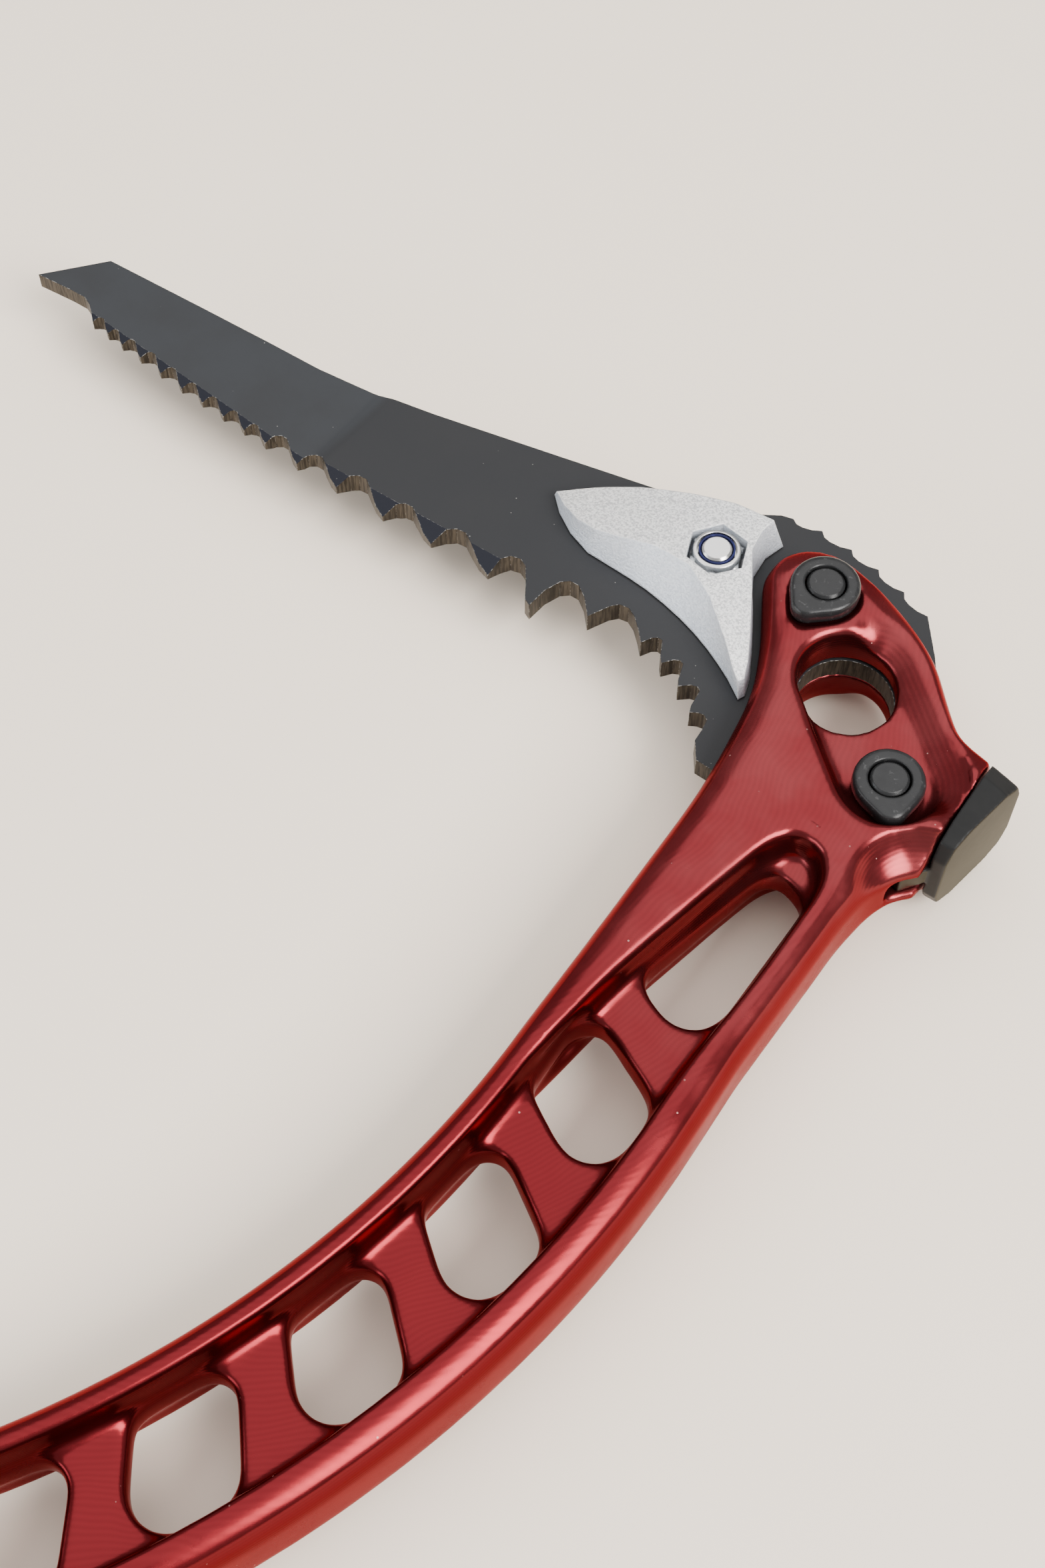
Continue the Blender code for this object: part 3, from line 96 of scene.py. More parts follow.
class Finish:
    """A material under construction: short calls that add its nodes."""

    def __init__(self, name, **sockets):
        self.material = bpy.data.materials.new(name)
        self.material.use_nodes = True
        self.tree = self.material.node_tree
        self.shader = self.tree.nodes["Principled BSDF"]
        place = self.tree.nodes.new("ShaderNodeTexCoord")
        self.point = place.outputs["Object"]
        self.facing = place.outputs["Normal"]
        for socket, value in sockets.items():
            self.put(self.shader.inputs[socket.replace("_", " ")], value)

    def put(self, socket, value):
        if isinstance(value, bpy.types.NodeSocket):
            self.tree.links.new(value, socket)
        elif isinstance(value, (tuple, Vector)) and socket.type == "RGBA":
            socket.default_value = (*value[:3], 1.0)
        else:
            socket.default_value = value

    def node(self, kind, values, output=0, **settings):
        node = self.tree.nodes.new(kind)
        for name, value in settings.items():
            setattr(node, name, value)
        for socket, value in values.items():
            self.put(node.inputs[socket], value)
        return node.outputs[output]

    def math(self, operation, *values):
        return self.node("ShaderNodeMath", dict(enumerate(values)), operation=operation)

    def times(self, a, b):
        return self.math("MULTIPLY", a, b)

    def times_plus(self, a, b, c):
        return self.math("MULTIPLY_ADD", a, b, c)

    def most(self, a, b):
        return self.math("MAXIMUM", a, b)

    def vector(self, operation, a, b, output=0):
        return self.node("ShaderNodeVectorMath", {0: a, 1: b}, output, operation=operation)

    def along(self, point, direction):
        """How far a point lies along a direction, or how much a normal faces it."""
        return self.vector("DOT_PRODUCT", point, Vector(direction), "Value")

    def height(self):
        return self.along(self.point, UP)

    def flatness(self):
        """One on faces that lie level, and zero on upright walls."""
        return self.math("ABSOLUTE", self.along(self.facing, UP))

    def step(self, value, low, high, to_low=0.0, to_high=1.0):
        """A soft step: to_low below low, to_high above high."""
        return self.node("ShaderNodeMapRange", {"Value": value, "From Min": low, "From Max": high,
                                                "To Min": to_low, "To Max": to_high},
                         interpolation_type="SMOOTHSTEP")

    def fall(self, value, low, high):
        """A soft step down: one below low, zero above high."""
        return self.step(value, low, high, 1.0, 0.0)

    def band(self, value, low, high, soft):
        """One between low and high, and zero outside them."""
        return self.times(self.step(value, low - soft, low + soft),
                          self.fall(value, high - soft, high + soft))

    def stretched(self, factors):
        return self.vector("MULTIPLY", self.point, Vector(factors))

    def noise(self, size, detail=3.0, point=None, roughness=NOISE_ROUGHNESS):
        """Smooth noise whose features are about as large as size."""
        return self.node("ShaderNodeTexNoise", {"Vector": point or self.point, "Scale": 1 / size,
                                                "Detail": detail, "Roughness": roughness}, "Fac")

    def cells(self, size, output="Distance"):
        return self.node("ShaderNodeTexVoronoi", {"Vector": self.point, "Scale": 1 / size}, output)

    def lines(self, value, pitch):
        """A row of fine lines across a length, from zero to one."""
        wave = self.math("SINE", self.times(value, math.tau / pitch))
        return self.times_plus(wave, 0.5, 0.5)

    def mix(self, share, a, b):
        """Between two colours."""
        node = self.tree.nodes.new("ShaderNodeMix")
        node.data_type = "RGBA"
        for socket, value in zip((node.inputs[0], node.inputs[6], node.inputs[7]), (share, a, b)):
            self.put(socket, value)
        return node.outputs[2]

    def bump(self, height, distance, normal=None):
        values = {"Height": height, "Distance": distance}
        if normal is not None:
            values["Normal"] = normal
        return self.node("ShaderNodeBump", values)

    def soft_edge(self, radius):
        """The surface's direction, with its edges rounded."""
        return self.node("ShaderNodeBevel", {"Radius": radius}, samples=EDGE_SAMPLES)

    def edge(self, radius, sharpness=EDGE_SHARPNESS):
        """One on the edges of a piece, and zero elsewhere."""
        geometry = self.tree.nodes.new("ShaderNodeNewGeometry")
        agreement = self.vector("DOT_PRODUCT", self.soft_edge(radius), geometry.outputs["Normal"], "Value")
        return self.fall(agreement, 1.0 - sharpness, 1.0 - sharpness / EDGE_FADE)

    def worn_edge(self, radius, size, detail=2.0):
        """Speckled wear along edges: an edge mask broken up by noise."""
        edge = self.edge(radius)
        return self.times(edge, self.step(self.noise(size, detail), *WORN_COVER))

    def specks(self, spacing, dot, patch, cover):
        """Small dots about spacing apart, in patches. dot and cover are the soft edges of dots and patches."""
        dots = self.fall(self.cells(spacing), *dot)
        return self.times(dots, self.step(self.noise(patch, 2.0), *cover))

    def done(self, colour, roughness=None, metallic=None, normal=None):
        links = {"Base Color": colour, "Roughness": roughness, "Metallic": metallic, "Normal": normal}
        for socket, value in links.items():
            if value is not None:
                self.put(self.shader.inputs[socket], value)
        return self.material


# Red anodising. Milling leaves rings on level faces and lines on walls, and the head has a dusty film. Walls
# and the shaft are coloured darker as painted shade.
RED_DEEP = (0.152, 0.0120, 0.0160)
RED_BRIGHT = (0.188, 0.0160, 0.0205)
RED_GROOVE = (0.085, 0.0050, 0.0070)
RED_WALL_SHADE = (0.075, 0.0050, 0.0060)
RED_SHADE = (0.035, 0.0020, 0.0030)
RED_FILM = (0.50, 0.24, 0.24)
RED_DUST = (0.62, 0.40, 0.36)
RED_AT_GLANCE = (0.75, 0.22, 0.22)
RED_CLOUD = 9 * MM
RED_ROUGHNESS = (0.20, 0.29)
LEVEL_FACE = (0.80, 0.97)
WALL_FACE = (0.25, 0.75)
RINGS_FROM = Vector((-0.035, 0.150, MIDDLE))
RINGS_WANDER = 7.0 * MM
RINGS_WAVE = 18 * MM
RINGS_PITCH = 0.85 * MM
LINES_PITCH = 0.5 * MM
GROOVE_SHARE = 0.17
GROOVE_RELIEF = 0.75
GRAIN_SIZE = 0.09 * MM
GRAIN_RELIEF = 0.5
WALL_SHADE_SHARE = 0.40
SHADE_SHARE = 0.17
HEAD_FROM, HEAD_TO = 0.13, 0.20
FILM_CLOUD = (0.25, 0.75)
FILM_SHARES = (0.03, 0.085)
DUST_SHARE = 0.5
DUST_ROUGHNESS = 0.3
RED_BUMP = 0.006 * MM
RED_EDGE = 0.35 * MM


def red_anodised():
    """Dyed aluminium: fine milling lines, painted shade on walls and shaft, a dusty film on the head, specks.
    """
    f = Finish("red_anodised", Metallic=0.92, Coat_Weight=0.06, Coat_Roughness=0.16, Coat_IOR=1.5,
               IOR=1.5, Specular_Tint=RED_AT_GLANCE)
    flatness = f.flatness()
    rings = f.vector("DISTANCE", f.point, RINGS_FROM, "Value")
    swirl = f.times_plus(f.noise(RINGS_WAVE, 2.0), RINGS_WANDER, rings)
    grooves = f.node("ShaderNodeMix", {0: f.step(flatness, *LEVEL_FACE), 2: f.lines(f.height(), LINES_PITCH),
                                       3: f.lines(swirl, RINGS_PITCH)})
    cloud = f.noise(RED_CLOUD, 4.0)
    colour = f.mix(cloud, RED_DEEP, RED_BRIGHT)
    colour = f.mix(f.times(grooves, GROOVE_SHARE), colour, RED_GROOVE)
    # Painted shade: steep walls are coloured darker.
    colour = f.mix(f.step(flatness, *WALL_FACE, WALL_SHADE_SHARE, 0.0), colour, RED_WALL_SHADE)
    # Painted shade: the shaft, away from the head, is coloured darker; the head alone gets the dusty film.
    head = f.step(f.along(f.point, (0, 1, 0)), HEAD_FROM, HEAD_TO)
    shade = f.math("SUBTRACT", SHADE_SHARE, f.times(head, SHADE_SHARE))
    colour = f.mix(shade, colour, RED_SHADE)
    film = f.times(head, f.step(cloud, *FILM_CLOUD, *FILM_SHARES))
    colour = f.mix(film, colour, RED_FILM)
    dust = f.specks(2.6 * MM, (0.045, 0.065), 7 * MM, (0.52, 0.62))
    colour = f.mix(f.times(dust, DUST_SHARE), colour, RED_DUST)
    rough = f.times_plus(dust, DUST_ROUGHNESS, f.step(cloud, 0.3, 0.7, *RED_ROUGHNESS))
    grain = f.times(f.noise(GRAIN_SIZE, 2.0), GRAIN_RELIEF)
    relief = f.times_plus(grooves, GROOVE_RELIEF, grain)
    return f.done(colour, rough, normal=f.bump(relief, RED_BUMP, f.soft_edge(RED_EDGE)))


# Black coating on steel, and what shows where it is thin or gone
BLACK_PLAIN = (0.0212, 0.0220, 0.0246)
BLACK_GROUND = (0.0285, 0.0308, 0.0350)
BLACK_CLOUD = (0.0235, 0.0238, 0.0255)
BLACK_FACET = (0.0075, 0.0085, 0.0145)
GULLET_DARK = (0.020, 0.0155, 0.0105)
GULLET_LIGHT = (0.066, 0.054, 0.039)
RUBBED_STEEL = (0.36, 0.35, 0.33)
GROUND_LEVELS = (1.56 * MM, 1.92 * MM)
PICK_WALL = (0.35, 0.55)
PICK_FACET = (0.80, 0.955, 0.008)
GULLET_STRETCH = (2600, 2600, 240)
COAT_GRAIN = 0.16 * MM
COAT_BUMP = 0.010 * MM
COAT_IOR = 1.32
COAT_METALLIC = 0.15


def black_steel():
    """Coated pick plate: paler where it is ground thin, navy on the facets, brown striped gullets, specks."""
    f = Finish("black_coated_steel", IOR=COAT_IOR)
    flatness = f.flatness()
    wall = f.fall(flatness, *PICK_WALL)
    from_middle = f.vector("SUBTRACT", f.point, Vector((0, 0, MIDDLE)))
    ground = f.fall(f.math("ABSOLUTE", f.along(from_middle, UP)), *GROUND_LEVELS)
    colour = f.mix(ground, BLACK_PLAIN, BLACK_GROUND)
    colour = f.mix(f.step(f.noise(14 * MM, 4.0), 0.35, 0.7, 0.0, 0.5), colour, BLACK_CLOUD)
    colour = f.mix(f.band(flatness, *PICK_FACET), colour, BLACK_FACET)
    streaks = f.noise(1.0, 2.0, f.stretched(GULLET_STRETCH))
    gullet = f.mix(f.step(streaks, 0.35, 0.65), GULLET_DARK, GULLET_LIGHT)
    colour = f.mix(wall, colour, gullet)
    specks = f.specks(2.1 * MM, (0.035, 0.055), 5 * MM, (0.50, 0.62))
    rubbed = f.worn_edge(0.16 * MM, 0.45 * MM)
    colour = f.mix(f.most(f.times(specks, 0.75), f.times(rubbed, 0.9)), colour, RUBBED_STEEL)
    grain = f.noise(COAT_GRAIN, 3.0)
    rough = f.times_plus(grain, 0.14, f.step(wall, 0.0, 1.0, 0.40, 0.32))
    metallic = f.step(wall, 0.0, 1.0, COAT_METALLIC, 0.55)
    relief = f.times_plus(f.times(streaks, wall), 3.0, grain)
    return f.done(colour, rough, metallic, f.bump(relief, COAT_BUMP, f.soft_edge(0.22 * MM)))


# The hammer's striking face, the way it faces, and the seat behind which its tang is bare
STRUCK_FACING = (0.981, 0.193, 0.0)
STRUCK_FACE = (0.80, 0.86)
SEAT_POINT = Vector((0.0727, 0.2188, MIDDLE))
SEAT_FACING = (0.932, 0.362, 0.0)
TANG_FADE = (-0.9 * MM, -0.5 * MM)
BRUSH_STRETCH = (500, 500, 9000)
STRUCK_DARK = (0.075, 0.069, 0.058)
STRUCK_LIGHT = (0.135, 0.125, 0.106)
STRUCK_PAINTED_SHADE = (0.030, 0.027, 0.023)
STRUCK_STAIN = (0.07, 0.060, 0.048)
STRUCK_AT_GLANCE = (0.58, 0.58, 0.55)
STRUCK_SHADE_LEVELS = (4.0 * MM, 21.0 * MM)
STRUCK_SHADE_SHARE = 0.85
HAMMER_DARK = (0.010, 0.0102, 0.0108)
HAMMER_LIGHT = (0.018, 0.0182, 0.019)


def hammer_steel():
    """Coated block, bare and brushed on its striking face and tang, rubbed along the edges; painted shade
    darkens the bare steel towards its upper side.
    """
    f = Finish("hammer_steel", IOR=COAT_IOR, Specular_Tint=STRUCK_AT_GLANCE)
    struck = f.step(f.along(f.facing, STRUCK_FACING), *STRUCK_FACE)
    inside = f.along(f.vector("SUBTRACT", f.point, SEAT_POINT), SEAT_FACING)
    bare = f.most(struck, f.times(f.fall(inside, *TANG_FADE), 0.9))
    bare = f.most(bare, f.times(f.worn_edge(0.2 * MM, 0.4 * MM), 0.8))
    brushed = f.noise(1.0, 3.0, f.stretched(BRUSH_STRETCH))
    patches = f.noise(4 * MM, 4.0)
    steel = f.mix(brushed, STRUCK_DARK, STRUCK_LIGHT)
    # Painted shade: the bare steel darkens towards the upper side.
    steel = f.mix(f.step(f.height(), *STRUCK_SHADE_LEVELS, 0.0, STRUCK_SHADE_SHARE), steel, STRUCK_PAINTED_SHADE)
    steel = f.mix(f.step(patches, 0.45, 0.75, 0.0, 0.35), steel, STRUCK_STAIN)
    colour = f.mix(bare, f.mix(patches, HAMMER_DARK, HAMMER_LIGHT), steel)
    rough = f.times_plus(brushed, 0.16, f.step(bare, 0.0, 1.0, 0.34, 0.26))
    metallic = f.step(bare, 0.0, 1.0, COAT_METALLIC, 1.0)
    grain = f.times(f.noise(COAT_GRAIN, 3.0), 0.6)
    relief = f.times_plus(f.times(brushed, bare), 0.8, grain)
    return f.done(colour, rough, metallic, f.bump(relief, COAT_BUMP, f.soft_edge(0.3 * MM)))


OXIDE_DARK = (0.0135, 0.0138, 0.0147)
OXIDE_LIGHT = (0.030, 0.0307, 0.0322)
OXIDE_SCUFF = (0.16, 0.16, 0.165)


def fastener_black():
    """Black oxide on turned and pressed steel: a soft gloss, rubbed rims, a few scuffs."""
    f = Finish("black_fasteners", IOR=1.36)
    patches = f.noise(2.4 * MM, 4.0)
    colour = f.mix(patches, OXIDE_DARK, OXIDE_LIGHT)
    scuffs = f.times(f.step(f.noise(0.9 * MM, 5.0), 0.60, 0.70), 0.22)
    rubbed = f.times(f.worn_edge(0.14 * MM, 0.35 * MM), 0.3)
    colour = f.mix(f.most(scuffs, rubbed), colour, OXIDE_SCUFF)
    rough = f.step(patches, 0.3, 0.7, 0.20, 0.33)
    relief = f.noise(0.14 * MM, 3.0)
    return f.done(colour, rough, 0.25, f.bump(relief, 0.008 * MM, f.soft_edge(0.3 * MM)))


SILVER_PIT = (0.56, 0.565, 0.58)
SILVER_FLANK_PAINTED_LIGHT = (0.80, 0.88, 1.0)
SILVER_BRIGHT = (1.0, 1.0, 1.0)
FLANK_FACE = (0.55, 0.93)


def cast_silver():
    """Plated casting: a sparkling grain, painted bluish light on the flanks, rounded edges with a painted
    highlight that is partly rubbed polish.
    """
    f = Finish("cast_silver", Metallic=0.55)
    grain = f.noise(0.42 * MM, 4.0, roughness=COARSE_ROUGHNESS)
    sparkle = f.node("ShaderNodeSeparateColor", {"Color": f.cells(0.26 * MM, "Color")}, "Red")
    colour = f.mix(f.step(grain, 0.40, 0.58), SILVER_PIT, SILVER_BRIGHT)
    # Painted light: the steep flanks are tinted bluish.
    colour = f.mix(f.times(f.fall(f.flatness(), *FLANK_FACE), 0.65), colour, SILVER_FLANK_PAINTED_LIGHT)
    # Painted highlight, partly rubbed polish: the edges are coloured brighter.
    colour = f.mix(f.times(f.edge(0.35 * MM), 0.7), colour, SILVER_BRIGHT)
    rough = f.times_plus(sparkle, 0.2, f.step(grain, 0.3, 0.7, 0.38, 0.28))
    relief = f.times_plus(sparkle, 0.35, grain)
    return f.done(colour, rough, normal=f.bump(relief, 0.20 * MM, f.soft_edge(0.4 * MM)))


ZINC_DARK = (0.66, 0.66, 0.65)
ZINC_LIGHT = (0.80, 0.80, 0.79)
POCKET_PAINTED_SHADE = (0.020, 0.018, 0.016)
POCKET_SHADE_LEVELS = (NUT_TOP - 2.2 * MM, NUT_TOP - 1.2 * MM)
POCKET_SHADE_SHARE = 0.92
TURNING_PITCH = 0.16 * MM


def plated_steel():
    """Bright zinc plating on a nut and the end of a bolt: faint turning marks, and painted shade down in the
    pocket.
    """
    f = Finish("plated_steel", Metallic=1.0)
    patches = f.noise(1.2 * MM, 4.0)
    colour = f.mix(patches, ZINC_DARK, ZINC_LIGHT)
    # Painted shade: darker low down on the nut and bolt, where they sit in the weight's pocket.
    colour = f.mix(f.step(f.height(), *POCKET_SHADE_LEVELS, POCKET_SHADE_SHARE, 0.0), colour, POCKET_PAINTED_SHADE)
    rough = f.step(patches, 0.3, 0.7, 0.16, 0.28)
    relief = f.times_plus(f.lines(f.height(), TURNING_PITCH), 0.3, f.noise(0.2 * MM, 3.0))
    return f.done(colour, rough, normal=f.bump(relief, 0.006 * MM, f.soft_edge(0.25 * MM)))


BARE_DARK = (0.36, 0.35, 0.33)
BARE_LIGHT = (0.56, 0.55, 0.53)
BARE_STAIN = (0.27, 0.25, 0.22)
GRINDING_ALONG = 300.0
GRINDING_ACROSS = 7000.0


def bare_steel():
    """Satin steel plate, ground along its length, darker in patches."""
    f = Finish("bare_steel", Metallic=1.0)
    ground = f.node("ShaderNodeCombineXYZ", {0: f.times(f.along(f.point, HANDLE_ALONG), GRINDING_ALONG),
                                             1: f.times(f.along(f.point, HANDLE_ACROSS), GRINDING_ACROSS),
                                             2: f.times(f.height(), GRINDING_ACROSS)})
    streaks = f.noise(1.0, 4.0, ground)
    colour = f.mix(streaks, BARE_DARK, BARE_LIGHT)
    colour = f.mix(f.step(f.noise(5 * MM, 4.0), 0.5, 0.8, 0.0, 0.3), colour, BARE_STAIN)
    rough = f.step(streaks, 0.3, 0.7, 0.24, 0.40)
    return f.done(colour, rough, normal=f.bump(streaks, 0.012 * MM, f.soft_edge(0.35 * MM)))


BLUE_NYLON = ((0.006, 0.008, 0.045), (0.011, 0.014, 0.075))
BLUE_GRAIN = 0.1 * MM
BLACK_NYLON = ((0.0070, 0.0070, 0.0073), (0.0115, 0.0115, 0.012))
BLACK_GRAIN = 0.28 * MM
RUBBED_GAIN = 2.6
RUBBED_LIFT = 0.01


def nylon(name, dark, light, size):
    """Moulded nylon: spark-eroded grain, a faint bloom, rubbed edges."""
    f = Finish(name, IOR=1.32)
    colour = f.mix(f.noise(10 * MM, 4.0), dark, light)
    rubbed = f.times(f.worn_edge(0.4 * MM, 1.2 * MM, 3.0), 0.4)
    colour = f.mix(rubbed, colour, tuple(RUBBED_GAIN * c + RUBBED_LIFT for c in light))
    grain = f.noise(size, 3.0, roughness=COARSE_ROUGHNESS)
    rough = f.step(grain, 0.3, 0.7, 0.42, 0.60)
    return f.done(colour, rough, normal=f.bump(grain, 0.035 * MM, f.soft_edge(0.5 * MM)))


RUBBER_DARK = (0.0075, 0.0075, 0.0078)
RUBBER_LIGHT = (0.0135, 0.0135, 0.0138)
RUBBER_CHALK = (0.045, 0.0445, 0.0435)


def grip_rubber():
    """Moulded rubber: fine pebbling, chalky where the raised pads are rubbed."""
    f = Finish("grip_rubber", IOR=1.28, Sheen_Weight=0.02, Sheen_Roughness=0.5)
    pebbles = f.cells(0.42 * MM)
    colour = f.mix(f.noise(16 * MM, 4.0), RUBBER_DARK, RUBBER_LIGHT)
    rubbed = f.times(f.edge(0.6 * MM, 0.12), f.step(f.noise(3 * MM, 3.0), 0.4, 0.6))
    colour = f.mix(f.times(rubbed, 0.35), colour, RUBBER_CHALK)
    rough = f.step(pebbles, 0.0, 0.6, 0.62, 0.80)
    return f.done(colour, rough, normal=f.bump(pebbles, 0.05 * MM))


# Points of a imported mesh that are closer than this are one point
WELD = 0.002 * MM


def edge_sharpener(angle):
    """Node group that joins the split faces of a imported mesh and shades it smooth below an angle."""
    group = bpy.data.node_groups.new("joined_and_smooth_%d" % round(math.degrees(angle)), "GeometryNodeTree")
    group.interface.new_socket("Geometry", in_out="INPUT", socket_type="NodeSocketGeometry")
    group.interface.new_socket("Geometry", in_out="OUTPUT", socket_type="NodeSocketGeometry")
    nodes = group.nodes
    links = group.links
    start = nodes.new("NodeGroupInput")
    end = nodes.new("NodeGroupOutput")
    plain = nodes.new("GeometryNodeRemoveAttribute")
    plain.inputs["Name"].default_value = "custom_normal"
    joined = nodes.new("GeometryNodeMergeByDistance")
    joined.inputs["Distance"].default_value = WELD
    smooth = nodes.new("GeometryNodeSetShadeSmooth")
    sharp = nodes.new("GeometryNodeSetShadeSmooth")
    sharp.domain = "EDGE"
    sharp.inputs["Shade Smooth"].default_value = False
    measured = nodes.new("GeometryNodeInputMeshEdgeAngle")
    steep = nodes.new("FunctionNodeCompare")
    steep.data_type = "FLOAT"
    steep.operation = "GREATER_THAN"
    steep.inputs[1].default_value = angle
    links.new(measured.outputs["Unsigned Angle"], steep.inputs[0])
    links.new(steep.outputs[0], sharp.inputs["Selection"])
    chain = [start, plain, joined, smooth, sharp, end]
    for a, b in zip(chain, chain[1:]):
        links.new(a.outputs[0], b.inputs[0])
    return group


def dress(names, material, smooth_by):
    """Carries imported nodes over: joined, smoothly shaded and in their finish."""
    for name in names:
        node = NODES[name]
        node.data.materials.clear()
        node.data.materials.append(material)
        node.modifiers.new("joined", "NODES").node_group = smooth_by
        even = node.modifiers.new("even_shading", "WEIGHTED_NORMAL")
        even.keep_sharp = True


CURVED = edge_sharpener(math.radians(34))
CRISP = edge_sharpener(math.radians(22))
BLACK = fastener_black()
dress(["pick"], black_steel(), CRISP)
dress(["pick_weight_upper", "pick_weight_lower"], cast_silver(), CURVED)
dress(["weight_nut", "weight_bolt"], plated_steel(), CURVED)
dress(["weight_nut_insert"], nylon("blue_nylon", *BLUE_NYLON, BLUE_GRAIN), CURVED)
dress(["upper_pick_bolt", "lower_pick_bolt", "finger_rest_bolt", "finger_rest_nut"], BLACK, CURVED)
dress(["finger_rest", "hand_rest"], nylon("black_nylon", *BLACK_NYLON, BLACK_GRAIN), CURVED)
dress(["spike", "spike_rivet_upper", "spike_rivet_lower"], bare_steel(), CRISP)

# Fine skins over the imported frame, hammer and nuts, which ease their facets and round their edges
FRAME_VOXEL = 0.4 * MM
FRAME_PASSES = 50
FRAME_SHARE = 0.25
HAMMER_VOXEL = 0.22 * MM
HAMMER_PASSES = 8
NUT_VOXEL = 0.18 * MM
NUT_PASSES = 22
FORGED_SHARE = 0.5
LIGHT_PASSES = 4
EASING = 0.5
# Places that keep their edges: the upper nut's pocket, the carabiner hole, the lower nut's and hammer's seats
CRISP_PLACES = ((0.0313, 0.2255, 9.0 * MM), (0.0458, 0.2192, 8.4 * MM), (0.0632, 0.2131, 5.8 * MM),
                (0.0728, 0.2188, 11.0 * MM))
CRISP_FADE = 2.4 * MM
FADE_LEVELS = 4
# The dished pocket's far wall, a gentle rise from its floor to the head's rim
DISH_FROM = Vector((0.0458, 0.2192))
DISH_TO = Vector((0.0632, 0.2131))
DISH_LEVEL = 5.0 * MM
DISH_FOOT = 6.4 * MM
DISH_CREST = 12.0 * MM
DISH_CREST_LEVEL = 8.7 * MM
DISH_FAR_SIDE = (0.3, 0.9)


def clamped(share):
    return min(1.0, max(0.0, share))


def smoothstep(value, low, high):
    t = clamped((value - low) / (high - low))
    return t * t * (3 - 2 * t)


def joined_mesh(node):
    """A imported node's faces, joined into one surface."""
    surface = bmesh.new()
    surface.from_mesh(NODES[node].data)
    bmesh.ops.remove_doubles(surface, verts=surface.verts, dist=WELD)
    data = bpy.data.meshes.new(node + "_joined")
    surface.to_mesh(data)
    surface.free()
    return data


def apply_modifiers(piece):
    graph = bpy.context.evaluated_depsgraph_get()
    data = bpy.data.meshes.new_from_object(piece.evaluated_get(graph))
    piece.modifiers.clear()
    piece.data = data


def soften(piece, passes, group=""):
    eased = piece.modifiers.new("eased", "SMOOTH")
    eased.factor = EASING
    eased.iterations = passes
    eased.vertex_group = group


def thin(piece, share):
    piece.modifiers.new("thinned", "DECIMATE").ratio = share


def eased_group(piece, crisp):
    """Vertex group with little weight near the places that keep their edges."""
    group = piece.vertex_groups.new(name="eased")
    levels = [[] for level in range(FADE_LEVELS + 1)]
    for v in piece.data.vertices:
        away = min(math.hypot(v.co.x - x, v.co.y - y) - radius for x, y, radius in crisp)
        levels[round(FADE_LEVELS * clamped(away / CRISP_FADE))].append(v.index)
    for level, members in enumerate(levels):
        group.add(members, level / FADE_LEVELS, "REPLACE")
    return group.name


def ease_dish(piece):
    """Makes the dished pocket's far wall a gentle rise to the rim, on both faces."""
    axis = DISH_TO - DISH_FROM
    across = Vector((-axis.y, axis.x)).normalized()
    for v in piece.data.vertices:
        place = v.co.to_2d() - DISH_FROM
        away = place - axis * clamped(place.dot(axis) / axis.length_squared)
        share = (away.length - DISH_FOOT) / (DISH_CREST - DISH_FOOT)
        level = abs(v.co.z - MIDDLE)
        if not 0.0 < share < 1.0 or level < DISH_LEVEL - FRAME_VOXEL:
            continue
        facing = smoothstep(away.dot(across) / away.length, *DISH_FAR_SIDE)
        move = DISH_LEVEL + (DISH_CREST_LEVEL - DISH_LEVEL) * share - level
        v.co.z += math.copysign(1.0, v.co.z - MIDDLE) * facing * move


def remesh(piece, voxel):
    skin = piece.modifiers.new("skin", "REMESH")
    skin.mode = "VOXEL"
    skin.voxel_size = voxel
    apply_modifiers(piece)


def skin_over(name, node, voxel):
    """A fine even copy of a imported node's surface, in its place."""
    piece = add_object(name, joined_mesh(node))
    remesh(piece, voxel)
    return piece


def stand_in(piece, finish, body, node):
    """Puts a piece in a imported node's place: smoothly shaded, in its finish, riding on its body."""
    piece.data.shade_smooth()
    piece.data.materials.clear()
    piece.data.materials.append(finish)
    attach(piece, body)
    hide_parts(node)


def machine_frame():
    piece = skin_over("machined_frame", "frame", FRAME_VOXEL)
    ease_dish(piece)
    remesh(piece, FRAME_VOXEL)
    soften(piece, FRAME_PASSES, eased_group(piece, CRISP_PLACES))
    soften(piece, LIGHT_PASSES)
    thin(piece, FRAME_SHARE)
    soften(piece, LIGHT_PASSES)
    apply_modifiers(piece)
    stand_in(piece, red_anodised(), "axe", "frame")


def forge(name, node, finish, body, voxel, passes):
    """A small black piece with its edges rounded."""
    piece = skin_over(name, node, voxel)
    soften(piece, passes)
    thin(piece, FORGED_SHARE)
    apply_modifiers(piece)
    stand_in(piece, finish, body, node)


machine_frame()
forge("forged_hammer", "hammer", hammer_steel(), "axe", HAMMER_VOXEL, HAMMER_PASSES)
forge("pressed_upper_nut", "upper_pick_nut", BLACK, "upper_pick_nut", NUT_VOXEL, NUT_PASSES)
forge("pressed_lower_nut", "lower_pick_nut", BLACK, "lower_pick_nut", NUT_VOXEL, NUT_PASSES)

# Grips, moulded around the handle's core
GRIP_AROUND = 120
GRIP_ALONG = 1.0 * MM
GRIP_SQUARENESS = 0.8
GRIP_WAIST = 1.6 * MM
PAD_LENGTH = 7.0 * MM
PAD_ROWS = 14
PAD_HEIGHT = 0.6 * MM
PAD_EDGE = 0.44
PAD_FADE = 2.5 * MM
CUFF = 7.0 * MM
CUFF_LIP = 0.35 * MM
CUFF_FADE = 2.0 * MM
CUFF_ROUND = 1.2 * MM
CUFF_TURNS = (90, 60, 30)
CORE_HALF_DEPTH = 12.15 * MM
CORE_HALF_THICKNESS = 9.65 * MM
CORE_SQUARENESS = 0.42


